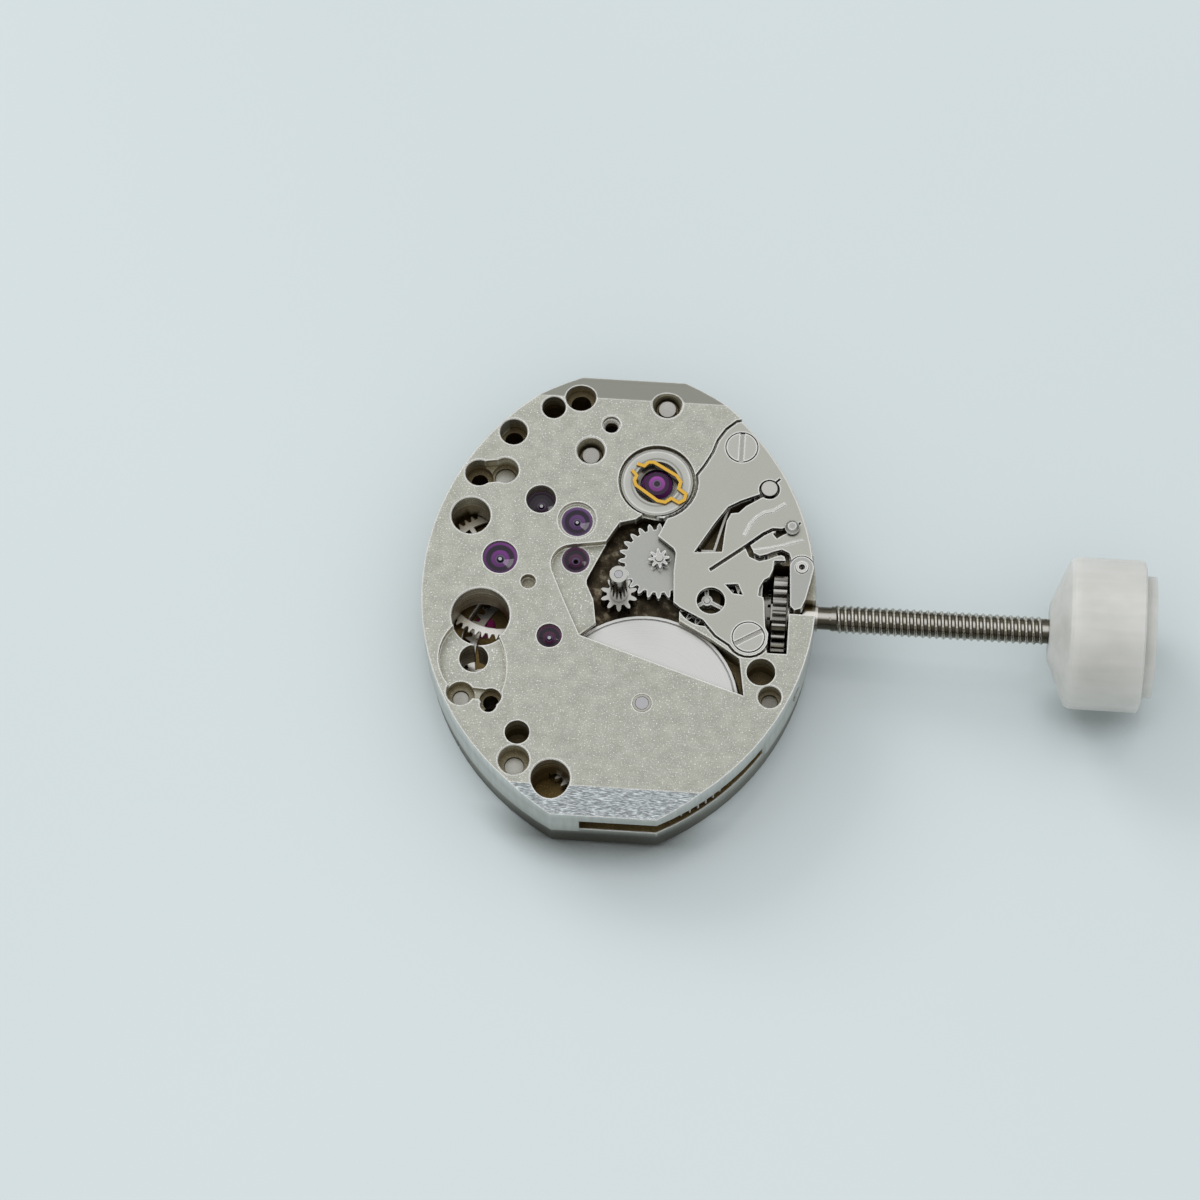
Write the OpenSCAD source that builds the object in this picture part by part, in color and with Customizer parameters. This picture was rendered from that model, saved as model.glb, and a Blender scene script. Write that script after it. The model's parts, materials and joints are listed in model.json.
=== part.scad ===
// Hand-wound ladies' watch movement, 6 3/4 lignes long, seen from its dial side.
// Millimetres. The origin lies on the dial face of the main plate at the centre arbor,
// +X runs out along the winding stem, +Y to 12 o'clock and +Z out of the dial side.

/* [Main plate] */
// Length from 12 to 6 o'clock
movement_l = 15.24; // [15.1:0.02:15.6]
// Width from 3 to 9 o'clock
movement_w = 12.75; // [12.65:0.05:13.2]
// Radius of the two long sides
side_r = 8.55; // [8.5:0.05:8.8]
// Length of the sloping ends, measured along the plate
bevel_l = 0.88; // [0.7:0.02:0.95]
// Drop of the sloping ends at the rim
bevel_h = 0.39; // [0.2:0.01:0.5]
// Thickness of the main plate
plate_t = 1.87; // [1.85:0.01:1.95]
// Thickness of the bridges
bridge_t = 1.13; // [1.12:0.01:1.25]
// Depth of the recess under the cover plate
cover_recess = 0.24; // [0.23:0.01:0.25]
// Depth of the motion-work window floor
window_depth = 0.80; // [0.76:0.02:0.86]

/* [Going train] */
// Teeth of the barrel
barrel_n = 72; // [66:6:78]
// Leaves of the centre pinion
centre_pinion_n = 12; // [10:1:12]
// Teeth of the centre wheel
centre_n = 64; // [60:1:70]
// Leaves of the third pinion
third_pinion_n = 8; // [7:1:9]
// Teeth of the third wheel
third_n = 60; // [56:1:64]
// Leaves of the fourth pinion
fourth_pinion_n = 8; // [7:1:9]
// Teeth of the fourth wheel
fourth_n = 60; // [56:1:64]
// Leaves of the escape pinion
escape_pinion_n = 6; // [6:1:7]
// Radius of the escape wheel over its teeth
escape_r = 1.2; // [1.18:0.005:1.21]
// Thickness of the train wheels
wheel_t = 0.10; // [0.08:0.01:0.11]
// Radius of the finest pivots
pivot_r = 0.06; // [0.05:0.005:0.07]

/* [Barrel and winding] */
// Outer radius of the drum
drum_r = 3.10; // [3.04:0.01:3.12]
// Radius of the barrel arbor's core
core_r = 0.85; // [0.8:0.01:0.9]
// Turns of the mainspring
mainspring_turns = 6; // [5:1:7]
// Thickness of the mainspring band
mainspring_t = 0.07; // [0.06:0.005:0.09]
// Teeth of the winding pinion
winding_n = 20; // [19:1:22]
// Teeth of the crown wheel
crown_n = 39; // [38:1:40]
// Teeth of the ratchet wheel
ratchet_n = 52; // [51:1:53]
// Thickness of the crown and ratchet wheels
ratchet_t = 0.26; // [0.22:0.01:0.27]

/* [Balance] */
// Outer radius of the balance rim
balance_r = 2.0; // [1.9:0.01:2.03]
// Radial width of the balance rim
balance_rim_w = 0.24; // [0.2:0.01:0.3]
// Turns of the hairspring
hairspring_turns = 9; // [7:1:10]
// Outer radius of the shock setting's flange
shock_r = 1.17; // [1.12:0.01:1.18]
// Radius of the cap jewels
cap_jewel_r = 0.5; // [0.46:0.01:0.53]

/* [Stem and keyless work] */
// Depth of the stem's axis below the dial face
stem_depth = 1.35; // [1.34:0.005:1.36]
// Radius of the stem in its bearings
stem_r = 0.45; // [0.42:0.01:0.46]
// Core radius of the threaded end
thread_r = 0.40; // [0.38:0.01:0.42]
// Travel of the stem between winding and setting
pull = 0.45; // [0.4:0.01:0.47]
// Radius of the sliding pinion
sliding_r = 0.80; // [0.76:0.01:0.81]
// Radius of the knob
knob_r = 2.475; // [2.3:0.025:2.6]
// Length of the knob
knob_l = 3.38; // [3:0.02:3.6]
// Thickness of the cover plate
cover_t = 0.20; // [0.16:0.01:0.21]
// Thickness of the setting lever and the yoke
lever_t = 0.20; // [0.16:0.01:0.2]
// Radius of the cover screws' heads
cover_screw_r = 0.5; // [0.46:0.01:0.54]

/* [Motion work] */
// Leaves of the cannon pinion
cannon_n = 10; // [9:1:11]
// Teeth of the minute wheel
minute_n = 24; // [22:1:26]
// Teeth of the setting wheel
setting_n = 16; // [15:1:17]
// Radius of the cannon pinion's pipe
cannon_r = 0.29; // [0.28:0.005:0.3]
// Radius of the centre arbor
arbor_r = 0.13; // [0.12:0.005:0.135]
// Height of the cannon pinion above the dial face
cannon_h = 1.45; // [1.3:0.05:1.7]

/* [Hidden] */
$fn = 48;
cut = 0.02;
run = 0.02;
fit = 0.01;
back = -plate_t - bridge_t;
stem_z = -stem_depth;

// Places of the arbors and holes on the plate
centre_at = [0, 0];
barrel_at = [0.99, -3.81];
third_at = [-2.14, -1.68];
fourth_at = [-3.92, 0.94];
escape_at = [-2.74, 3.05];
pallet_at = [-1.52, 2.39];
balance_at = [0.98, 3.92];
recess_jewel_at = [-1.48, 1.11];
deep_jewel_at = [-4.39, -0.64];
minute_at = [1.22, 1.23];
setting_at = [2.85, -0.03];
crown_at = [3.72, -0.885];
click_at = [-1.92, -4.87];
yoke_at = [4.65, 3.86];
lever_at = [5.85, 1.19];
lever_pin_at = [5.80, 0];
lever_knob_at = [5.46, 2.53];
upper_screw_at = [3.67, 5.29];
lower_screw_at = [4.26, -1.33];
right_foot_at = [4.73, -2.51];

// Blind and stepped holes seen from the dial side: place, radius, depth, radius below
stepped_holes = [
    [[-1.69, 6.76], 0.50, 0.75, 0.33],
    [[-3.80, 5.38], 0.45, 0.80, 0.30],
    [[-4.82, 3.86], 0.45, 0.85, 0.27],
    [[-2.55, 6.33], 0.385, plate_t + 1, 0.30],
    [[-4.97, 2.34], 0.635, plate_t + 1, 0.30],
    [[-4.40, -1.11], 0.94, plate_t + 1, 0.30],
    [[-4.52, -2.51], 0.47, plate_t + 1, 0.30],
    [[-3.88, -3.86], 0.36, 0.70, 0.25],
    [[-3.92, -4.16], 0.26, 0.45, 0.14],
    [[-1.76, -6.53], 0.63, plate_t + 1, 0.30]
];
blind_hole_at = [-2.95, 0.15];
dial_foot_at = [-2.93, -5.05];
dial_foot_r = 0.40;
right_foot_r = 0.465;
foot_screw_at = [5.93, -2.80];
foot_screw_z = -1.05;

// Channels that join neighbouring holes: ends, width, depth
channels = [
    [[-4.82, 3.86], [-3.98, 4.00], 0.78, 0.60],
    [[-4.85, -3.72], [-3.88, -3.80], 0.48, 0.45]
];

// Bridge screws: place, shank radius, mouth radius, depth of the shank's end
screw_holes = [
    [[-3.98, 4.00], 0.34, 0.44, 0.78],
    [[-4.85, -3.78], 0.26, 0.45, 0.72],
    [[-2.97, -5.99], 0.31, 0.50, 0.72],
    [[5.06, -3.34], 0.26, 0.375, 0.60],
    [[-0.63, 5.83], 0.26, 0.285, 0.80]
];
east_screw_at = [4.15, 4.95];
// Steady pins: place, radius, mouth radius, depth of the funnel
pin_holes = [[[1.15, 6.67], 0.28, 0.50, 0.62], [[-1.24, 4.87], 0.28, 0.47, 0.62]];

// Levels, counted down from the dial face
barrel_skin = 0.24;
drum_top = -barrel_skin - 0.04;
drum_bottom = -plate_t + 0.15;
drum_tooth_top = drum_bottom + 0.30;
centre_wheel_z = -plate_t - 0.01;
centre_arm_top = centre_wheel_z - 0.06;
centre_arm_t = 0.18;
third_wheel_z = centre_arm_top - centre_arm_t - 0.06 - wheel_t;
fourth_wheel_z = -1.62;
escape_wheel_z = -1.18;
balance_z = -1.74;
balance_t = 0.24;
fork_z = -1.20;
fork_t = 0.12;
roller_z = -1.36;
pallet_bridge_top = fork_z - 0.07;
pallet_foot_top = -window_depth - 0.15;
pallet_foot_at = [-0.55, 1.55];
roller_t = 0.12;
ratchet_z = back + 0.20;
ratchet_floor = ratchet_z + ratchet_t + 0.04;
gear_z = -0.62;
setting_t = 0.30;
minute_z = gear_z + 0.15;
minute_t = 0.20;
cannon_top = -0.28;
cannon_foot = -0.75;
cannon_turn = 21;
hole_edge = 0.03;
bridge_inset = 0.08;
lever_z = -cover_recess - 0.02 - lever_t;
lever_floor = lever_z - 0.04;
cover_z = -cover_recess + 0.02;
cock_z = back + 0.20;
cock_t = 0.44;

// Swings of the setting lever and the yoke over the travel of the stem
lever_swing = asin(pull / (lever_at[1] - lever_pin_at[1]));
yoke_swing = asin(pull / (yoke_at[1] - lever_pin_at[1]));

// Modules of the gear pairs, from the distances between their arbors
function dist(a, b) = norm(b - a);
function dir(a, b) = atan2(b[1] - a[1], b[0] - a[0]);
barrel_m = 2 * dist(barrel_at, centre_at) / (barrel_n + centre_pinion_n);
centre_m = 2 * dist(centre_at, third_at) / (centre_n + third_pinion_n);
third_m = 2 * dist(third_at, fourth_at) / (third_n + fourth_pinion_n);
fourth_m = 2 * dist(fourth_at, escape_at) / (fourth_n + escape_pinion_n);
motion_m = 2 * dist(centre_at, minute_at) / (cannon_n + minute_n);
setting_m = (2 * dist(minute_at, setting_at) - minute_n * motion_m) / setting_n;
crown_m = 2 * dist(barrel_at, crown_at) / (crown_n + ratchet_n);
winding_tip = stem_z - ratchet_z - ratchet_t + 0.128;
winding_m = 2 * winding_tip / (winding_n + 2);
function tip_r(n, m) = n * m / 2 + m;
barrel_tip = tip_r(barrel_n, barrel_m);
centre_tip = tip_r(centre_n, centre_m);
third_tip = tip_r(third_n, third_m);
fourth_tip = tip_r(fourth_n, fourth_m);
crown_tip = tip_r(crown_n, crown_m);
ratchet_tip = tip_r(ratchet_n, crown_m);

// Rotation of wheel H so that one of its gaps meets a tooth of wheel G, turned by rg
function mesh_turn(rg, ng, nh, phi) = phi + 180 - 180 / nh - (rg - phi) * ng / nh;
centre_turn = mesh_turn(0, barrel_n, centre_pinion_n, dir(barrel_at, centre_at));
third_turn = mesh_turn(0, centre_n, third_pinion_n, dir(centre_at, third_at));
fourth_turn = mesh_turn(0, third_n, fourth_pinion_n, dir(third_at, fourth_at));
escape_turn = mesh_turn(0, fourth_n, escape_pinion_n, dir(fourth_at, escape_at));
minute_turn = mesh_turn(cannon_turn, cannon_n, minute_n, dir(centre_at, minute_at));
setting_turn = mesh_turn(minute_turn, minute_n, setting_n, dir(minute_at, setting_at));
ratchet_turn = mesh_turn(0, crown_n, ratchet_n, dir(crown_at, barrel_at));

// Flat outlines
function polar(r, a) = r * [cos(a), sin(a)];
function moved(points, at) = [for (p = points) p + at];
function turned(points, a) = [for (p = points)
    [p[0] * cos(a) - p[1] * sin(a), p[0] * sin(a) + p[1] * cos(a)]];
function arc(at, r, from, to, steps) = [for (i = [0:steps])
    at + polar(r, from + (to - from) * i / steps)];
function unit(v) = v / norm(v);
function right_of(v) = [v[1], -v[0]];
function miter(u, v) = (right_of(u) + right_of(v)) / (1 + u * v);

// A closed outline, listed anticlockwise, grown outwards by d
function grown(p, d) = let (n = len(p)) [for (i = [0:n - 1])
    p[i] + d * miter(unit(p[i] - p[(i + n - 1) % n]), unit(p[(i + 1) % n] - p[i]))];

// One edge of a band that follows an open path
function edge(p, d) = let (n = len(p)) [for (i = [0:n - 1])
    let (u = unit(i == 0 ? p[1] - p[0] : p[i] - p[i - 1]),
         v = unit(i == n - 1 ? p[i] - p[i - 1] : p[i + 1] - p[i]))
    p[i] + d * miter(u, v)];
function reversed(p) = [for (i = [len(p) - 1:-1:0]) p[i]];
function band(p, w) = concat(edge(p, w / 2), reversed(edge(p, -w / 2)));

// A spiral band from radius r0 to r1
function spiral(r0, r1, turns, w, start = 0, per_turn = 24) = band(
    [for (i = [0:turns * per_turn])
        polar(r0 + (r1 - r0) * i / (turns * per_turn), start + 360 * i / per_turn)], w);

// Teeth with a rounded flank in three steps, as on the wheels that show
function fine_gear(n, m, turn) = [for (i = [0:n - 1]) let (p = 360 / n, a = turn + i * p)
    each [polar(n * m / 2 - 1.15 * m, a - 0.34 * p),
          polar(n * m / 2, a - 0.22 * p),
          polar(n * m / 2 + 0.62 * m, a - 0.13 * p),
          polar(n * m / 2 + m, a),
          polar(n * m / 2 + 0.62 * m, a + 0.13 * p),
          polar(n * m / 2, a + 0.22 * p),
          polar(n * m / 2 - 1.15 * m, a + 0.34 * p)]];

// Plainer teeth for the wheels inside
function plain_gear(n, m, turn) = [for (i = [0:n - 1]) let (p = 360 / n, a = turn + i * p)
    each [polar(n * m / 2 - 1.1 * m, a - 0.31 * p),
          polar(n * m / 2 + m, a - 0.08 * p),
          polar(n * m / 2 + m, a + 0.08 * p),
          polar(n * m / 2 - 1.1 * m, a + 0.31 * p)]];

// One opening between two arms of a wheel
function opening(from, to, r_in, r_out, arm_w, steps = 8) = concat(
    arc([0, 0], r_out, from + asin(arm_w / 2 / r_out), to - asin(arm_w / 2 / r_out), steps),
    arc([0, 0], r_in, to - asin(arm_w / 2 / r_in), from + asin(arm_w / 2 / r_in), steps));

module disc(r, top, bottom, at = [0, 0]) {
    translate([at[0], at[1], bottom]) cylinder(r = r, h = top - bottom);
}
module ring(r_out, r_in, top, bottom, at = [0, 0]) {
    difference() {
        disc(r_out, top, bottom, at);
        disc(r_in, top + cut, bottom - cut, at);
    }
}
module slab(points, top, bottom) {
    translate([0, 0, bottom]) linear_extrude(top - bottom) polygon(points);
}
module block(from, to, top, bottom) {
    translate([from[0], from[1], bottom]) cube([to[0] - from[0], to[1] - from[1], top - bottom]);
}

// The plate's outline: two large arcs cut by two straight ends
module outline(top, bottom, inset = 0) {
    intersection() {
        disc(side_r - inset, top, bottom, [movement_w / 2 - side_r, 0]);
        disc(side_r - inset, top, bottom, [side_r - movement_w / 2, 0]);
        block([-movement_w, inset - movement_l / 2], [movement_w, movement_l / 2 - inset], top, bottom);
    }
}

// A slotted screw, head upwards, with the underside of its head at z = 0
module screw(head_r, head_h, shank_r, shank_l, slot_turn) {
    difference() {
        union() {
            cylinder(r = head_r, h = head_h);
            translate([0, 0, -shank_l]) cylinder(r = shank_r, h = shank_l);
        }
        rotate([0, 0, slot_turn])
            translate([-head_r - cut, -head_r * 0.15, head_h * 0.45])
                cube([2 * (head_r + cut), head_r * 0.3, head_h]);
    }
}
module place(at, z) {
    translate([at[0], at[1], z]) children();
}

// A crossed-out wheel with toothed rim
module crossed_wheel(points, r_rim, r_hub, r_bore, arms, arm_w, top, bottom, turn) {
    difference() {
        slab(points, top, bottom);
        for (i = [0:arms - 1])
            slab(opening(turn + i * 360 / arms, turn + (i + 1) * 360 / arms, r_hub, r_rim, arm_w),
                top + cut, bottom - cut);
        disc(r_bore, top + cut, bottom - cut);
    }
}

// Keyless work outlines, anticlockwise
cover_outline = concat(
    [[4.10, 6.30], [3.48, 6.16], [3.17, 5.88], [2.92, 5.48], [2.78, 5.03], [2.54, 4.56]],
    arc(balance_at, 1.36, 12, -72, 8),
    [[1.14, 2.00], [1.67, 1.60], [1.75, 1.44], [1.72, 0.80], [1.78, -0.27], [2.00, -0.44],
     [2.76, -0.81], [3.22, -1.33], [3.68, -1.62]],
    arc(lower_screw_at, 0.64, 215, 342, 8),
    [[4.89, -1.16], [4.78, -0.96], [4.74, -0.60], [4.70, -0.10], [4.66, 0.08], [4.49, 0.13],
     [4.52, 0.43], [4.66, 0.70], [4.82, 0.80], [4.92, 1.05], [4.94, 1.38], [5.39, 1.40],
     [6.35, 1.45], [5.95, 3.00], [5.20, 4.40], [4.40, 5.65]]);
slit_wedge = [[4.46, 3.73], [3.76, 3.42], [3.34, 3.17], [2.95, 2.58], [2.33, 1.50], [3.24, 1.58],
    [3.28, 2.20], [3.33, 2.66], [3.46, 2.94], [3.70, 2.98], [3.92, 3.22], [4.40, 3.54], [4.52, 3.60]];
yoke_notch = band([[4.80, 4.08], [4.90, 4.17], [4.98, 4.26]], 0.07);
knob_notch = band([[5.58, 2.66], [5.68, 2.70], [5.72, 2.76]], 0.06);
slit_long = band([[5.24, 2.45], [4.84, 2.46], [4.54, 2.28], [4.05, 1.86], [2.88, 0.92]], 0.12);
slit_hook = band([[4.05, 1.84], [4.20, 1.53], [4.46, 1.42], [4.72, 1.50], [4.92, 1.60],
    [5.16, 1.68], [5.34, 1.60], [5.45, 1.30]], 0.19);
finger_rib = band([[3.93, 2.19], [4.09, 2.60], [4.30, 2.86], [4.55, 3.04], [4.81, 3.11],
    [5.02, 3.26], [5.18, 3.38]], 0.09);
tongue_rib = band([[4.17, 1.68], [4.76, 1.80], [5.26, 1.94], [5.49, 2.04], [5.82, 2.14]], 0.06);
triangle_hole = [[3.40, 0.45], [3.68, 0.15], [4.00, 0.12], [3.82, 0.50]];
winding_window = [[4.97, 1.40], [4.90, 1.02], [4.66, 0.72], [4.52, 0.43], [4.50, 0.12],
    [4.68, 0.06], [4.74, -0.60], [4.80, -1.00], [4.88, -1.85], [5.52, -1.85], [5.52, 1.42]];
lever_outline = concat(
    arc(lever_knob_at, 0.24, 20, 160, 6),
    [[5.40, 1.90], [5.46, 1.35], [5.54, -0.15]],
    [[5.68, -0.30], [5.90, -0.22], [6.02, 0.08], [6.14, 0.68], [6.20, 1.12], [6.08, 1.42]],
    [[5.80, 1.62]]);
lever_hub_r = 0.385;
lever_tail = [[5.465, 1.19], [5.54, -0.15], [5.68, -0.30], [5.90, -0.22], [6.02, 0.08],
    [6.15, 0.68], [6.235, 1.19]];
yoke_outline = concat(
    arc(yoke_at, 0.52, 20, 200, 8),
    [[4.25, 3.20], [4.28, 1.60], [4.38, 0.60], [4.38, -0.28], [4.62, -0.28], [4.62, 0.60],
     [4.64, 1.60], [4.72, 3.00], [5.05, 3.50]]);
motion_recess = concat([[-0.50, 1.71]], arc([-1.58, 0.84], 0.69, 97, 200, 8),
    [[-1.72, -0.50], [-1.19, -1.57], [-0.67, -1.13]]);
window_outline = [[0.60, 2.73], [0.38, 2.54], [-0.14, 2.39], [-0.53, 1.71], [-1.02, 0.60],
    [-1.08, 0.44], [-1.07, 0.28], [-0.82, -0.23], [-0.67, -1.14], [-1.18, -1.60], [2.38, -2.76],
    [4.22, -3.36], [4.02, -2.10], [3.10, -1.50], [2.00, -0.90], [1.90, 2.10], [1.30, 2.62]];
jewel_pocket = concat(arc([-4.15, -2.55], 1.50, 138, 222, 8), arc([-5.73, -3.00], 2.31, -18, 32, 8));

// Main plate
module train_pockets() {
    floor_z = -plate_t - cut;
    disc(drum_r + 0.10, -barrel_skin, floor_z, barrel_at);
    disc(barrel_tip + 0.08, drum_tooth_top + 0.09, floor_z, barrel_at);
    disc(centre_tip + 0.06, centre_wheel_z + wheel_t + 0.07, floor_z, centre_at);
    disc(0.75, -1.2, floor_z, centre_at);
    disc(arbor_r + 2 * run, 1, floor_z, centre_at);
    disc(0.55, -1.7, floor_z, third_at);
    disc(fourth_tip + 0.05, fourth_wheel_z + wheel_t + 0.08, floor_z, fourth_at);
    disc(escape_r + 0.10, escape_wheel_z + 0.22, floor_z, escape_at);
    disc(0.86, fork_z + fork_t + 0.13, floor_z, pallet_at);
    slab(band([pallet_at, balance_at], 1.1), fork_z + fork_t + 0.13, floor_z);
    disc(balance_r + 0.10, balance_z + balance_t + 0.12, floor_z, balance_at);
    disc(0.75, -0.90, floor_z, balance_at);
    for (at = [third_at, fourth_at, escape_at, pallet_at])
        disc(0.28, -0.1, floor_z, at);
    slab(band([pallet_foot_at, pallet_at], 0.78), pallet_bridge_top + 0.04, floor_z);
    disc(0.50, pallet_bridge_top + 0.04, floor_z, pallet_at);
    disc(0.36, pallet_foot_top, floor_z, pallet_foot_at);
}
module dial_side_recesses() {
    slab(grown(cover_outline, 0.09), 1, -cover_recess);
    slab([[5.2, 1.7], [5.35, -0.45], [7, -0.45], [7, 1.7]], 1, lever_floor);
    slab(grown(lever_outline, 0.10), 1, lever_floor);
    for (part = [0.5, 1]) {
        slab(turned_about(grown(lever_outline, 0.10), lever_at, part * lever_swing), 1, lever_floor);
        slab(turned_about(grown(yoke_outline, 0.08), yoke_at, -part * yoke_swing), 1, lever_floor);
    }
    slab(grown(yoke_outline, 0.08), 1, lever_floor);
    slab(slit_wedge, 1, -0.95);
    slab(motion_recess, 1, -0.30);
    slab(window_outline, 1, -window_depth);
    slab(jewel_pocket, 1, -0.30);
    disc(tip_r(minute_n, motion_m) + 0.08, 1, gear_z - 0.10, minute_at);
    disc(tip_r(setting_n, setting_m) + 0.08, 1, gear_z - 0.10, setting_at);
}
function turned_about(points, at, a) = moved(turned(moved(points, -at), a), at);
module winding_cuts() {
    slab(winding_window, 1, -plate_t - cut);
    block([3.30 - run, -sliding_r - 0.06], [4.97, sliding_r + 0.06], lever_floor + cut, -plate_t - cut);
    block([5.56, -0.26], [movement_w, 0.26], 1, stem_z);
    translate([2.35, 0, stem_z]) rotate([0, 90, 0]) cylinder(r = 0.22 + fit, h = 2);
    translate([4.5, 0, stem_z]) rotate([0, 90, 0]) cylinder(r = stem_r + fit, h = 3);
}
module end_slopes() {
    for (s = [-1, 1])
        scale_y(s) rotate([90, 0, 90]) translate([0, 0, -movement_w / 2])
            linear_extrude(movement_w)
                polygon([[movement_l / 2 - bevel_l, cut], [movement_l / 2 + 1, cut],
                    [movement_l / 2 + 1, -bevel_h * (bevel_l + 1) / bevel_l],
                    [movement_l / 2 - bevel_l, 0]]);
}
module scale_y(s) {
    if (s > 0) children();
    else mirror([0, 1, 0]) children();
}
// The broken edge round the mouth of a hole in the dial face
module mouth(r, at) {
    translate([at[0], at[1], -hole_edge])
        cylinder(r1 = r, r2 = r + 2 * hole_edge, h = 2 * hole_edge);
}
module main_plate() {
    color([0.76, 0.75, 0.72]) difference() {
        outline(0, -plate_t);
        end_slopes();
        train_pockets();
        dial_side_recesses();
        winding_cuts();
        for (h = stepped_holes) {
            disc(h[1], 1, -h[2], h[0]);
            mouth(h[1], h[0]);
            if (h[3] < h[1]) disc(h[3], 1, -plate_t - cut, h[0]);
        }
        for (c = channels)
            slab(band([c[0], c[1]], c[2]), 1, -c[3]);
        for (h = screw_holes) {
            disc(h[2], 1, -h[3] + 0.08, h[0]);
            mouth(h[2], h[0]);
            disc(h[1] + fit, 1, -plate_t - cut, h[0]);
        }
        for (h = pin_holes) {
            translate([h[0][0], h[0][1], -h[3]])
                cylinder(r1 = h[1] + 0.08, r2 = h[2], h = h[3] + fit);
            mouth(h[2], h[0]);
            disc(h[1] + fit, 1, -plate_t - cut, h[0]);
        }
        disc(0.27, -0.9, -plate_t - cut, east_screw_at);
        disc(0.25, 1, -0.30, blind_hole_at);
        disc(dial_foot_r, 1, -1.3, dial_foot_at);
        disc(right_foot_r, 1, -1.25, right_foot_at);
        disc(0.30 + fit, 1, -barrel_skin - cut, barrel_at);
        foot_screw(0.24 + fit, 1);
        disc(0.26, 1, -1.05, upper_screw_at);
        disc(0.26, 1, -1.05, lower_screw_at);
        disc(0.24, 1, -1.10, yoke_at);
        disc(0.17, 1, -1.10, lever_at);
        disc(0.135, 1, -1.0, minute_at);
        disc(0.105, 1, -1.0, setting_at);
        disc(0.41, 1, -0.52, third_at);
        disc(0.57, 1, -0.42, fourth_at);
        disc(0.49, 1, -0.80, escape_at);
        disc(0.63, 1, -0.16, pallet_at);
        disc(0.51, 1, -0.50, pallet_at);
        disc(0.45, 1, -0.66, recess_jewel_at);
        disc(shock_r + 0.09, 1, -0.30, balance_at);
        disc(0.80 + fit, 1, -0.92, balance_at);
        block([-0.79, -movement_l / 2 - 1], [movement_w, -4.60], drum_tooth_top + 0.49, -plate_t - cut);
    }
}

// Bridges
crown_recess_r = crown_tip + 0.09;
ratchet_recess_r = ratchet_tip + 0.12;
balance_gap_r = balance_r + 0.2;
split_line = concat(
    [[-3.00, -4.45], [-2.40, -4.05]],
    arc(barrel_at, 2.75, 178, 100, 8),
    [[0.92, -0.80], [1.20, 0.40], [1.20, 2.20]]);
module barrel_side(top, bottom, inset) {
    intersection() {
        outline(top, bottom, bridge_inset);
        slab(concat([[-9, -9], [-9, -4.95]], edge(split_line, inset),
            [[1.30, 3.92], [2.40, 6.10], [2.70, 9], [9, 9], [9, -9]]), top, bottom);
    }
}
module barrel_bridge() {
    top = -plate_t;
    color([0.78, 0.77, 0.74]) difference() {
        union() {
            difference() {
                barrel_side(top, back, 0.04);
                disc(balance_gap_r, top + cut, back - cut, balance_at);
                disc(third_tip + 0.06, top + cut, third_wheel_z - 0.06, third_at);
                disc(centre_tip + 0.06, top + cut, centre_arm_top, centre_at);
                disc(ratchet_recess_r, ratchet_floor, back - cut, barrel_at);
                disc(crown_recess_r, ratchet_floor, back - cut, crown_at);
                slab(band([click_at, [-1.15, -3.85]], 0.9), ratchet_floor, back - cut);
                disc(0.52, ratchet_floor, back - cut, click_at);
                slab(band(arc(barrel_at, 2.78, 206, 246, 8), 0.26), ratchet_floor, back - cut);
                block([3.28, -sliding_r - 0.06], [4.97, sliding_r + 0.06],
                    top + cut, stem_z - sliding_r - 0.06);
                translate([4.90, 0, stem_z]) rotate([0, 90, 0]) cylinder(r = winding_tip + 0.05, h = 0.60);
            }
            disc(0.66, ratchet_floor + cut, ratchet_z - 0.02, crown_at);
            slab(band([[1.40, -0.55], centre_at], 1.1), centre_arm_top, centre_arm_top - centre_arm_t);
            disc(0.55, centre_arm_top, centre_arm_top - centre_arm_t, centre_at);
        }
        disc(0.40 + fit, top + cut, back - cut, barrel_at);
        disc(0.38 + fit, top + cut, third_wheel_z, centre_at);
        disc(0.25, ratchet_floor + 0.25, back - cut, crown_at);
        disc(0.15, ratchet_floor + 0.30, back - cut, click_at);
        for (h = [screw_holes[2], screw_holes[3]]) {
            disc(h[1] + fit, top + cut, back - cut, h[0]);
            disc(0.46, back + 0.30, back - cut, h[0]);
        }
        disc(0.27, top + cut, back - cut, east_screw_at);
        disc(0.46, back + 0.30, back - cut, east_screw_at);
    }
}
module train_bridge() {
    top = -plate_t;
    color([0.78, 0.77, 0.74]) difference() {
        intersection() {
            outline(top, back, bridge_inset);
            slab(concat([[-9, -4.85]], edge(split_line, -0.04),
                [[-1.30, 3.00], [-1.95, 4.10], [-2.20, 9], [-9, 9]]), top, back);
        }
        disc(balance_gap_r, top + cut, back - cut, balance_at);
        disc(third_tip + 0.06, top + cut, third_wheel_z - 0.06, third_at);
        disc(centre_tip + 0.06, top + cut, centre_arm_top, centre_at);
        disc(0.60, top + cut, third_wheel_z - 0.12, fourth_at);
        disc(0.60, top + cut, third_wheel_z, centre_at);
        slab(band([[1.40, -0.55], centre_at], 1.2), top + cut, third_wheel_z);
        disc(0.45, top + cut, -2.10, escape_at);
        disc(1.30, top + cut, -2.00, pallet_at);
        for (at = [third_at, fourth_at, escape_at])
            disc(0.26, top + cut, back + 0.2, at);
        for (j = bridge_jewel_seats)
            disc(j[1] + fit, j[3] + fit, back - cut, j[0]);
        for (h = [screw_holes[0], screw_holes[1]]) {
            disc(h[1] + fit, top + cut, back - cut, h[0]);
            disc(0.46, back + 0.30, back - cut, h[0]);
        }
        disc(0.375 + fit, top + cut, third_wheel_z - 0.32, deep_jewel_at);
    }
}
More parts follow.
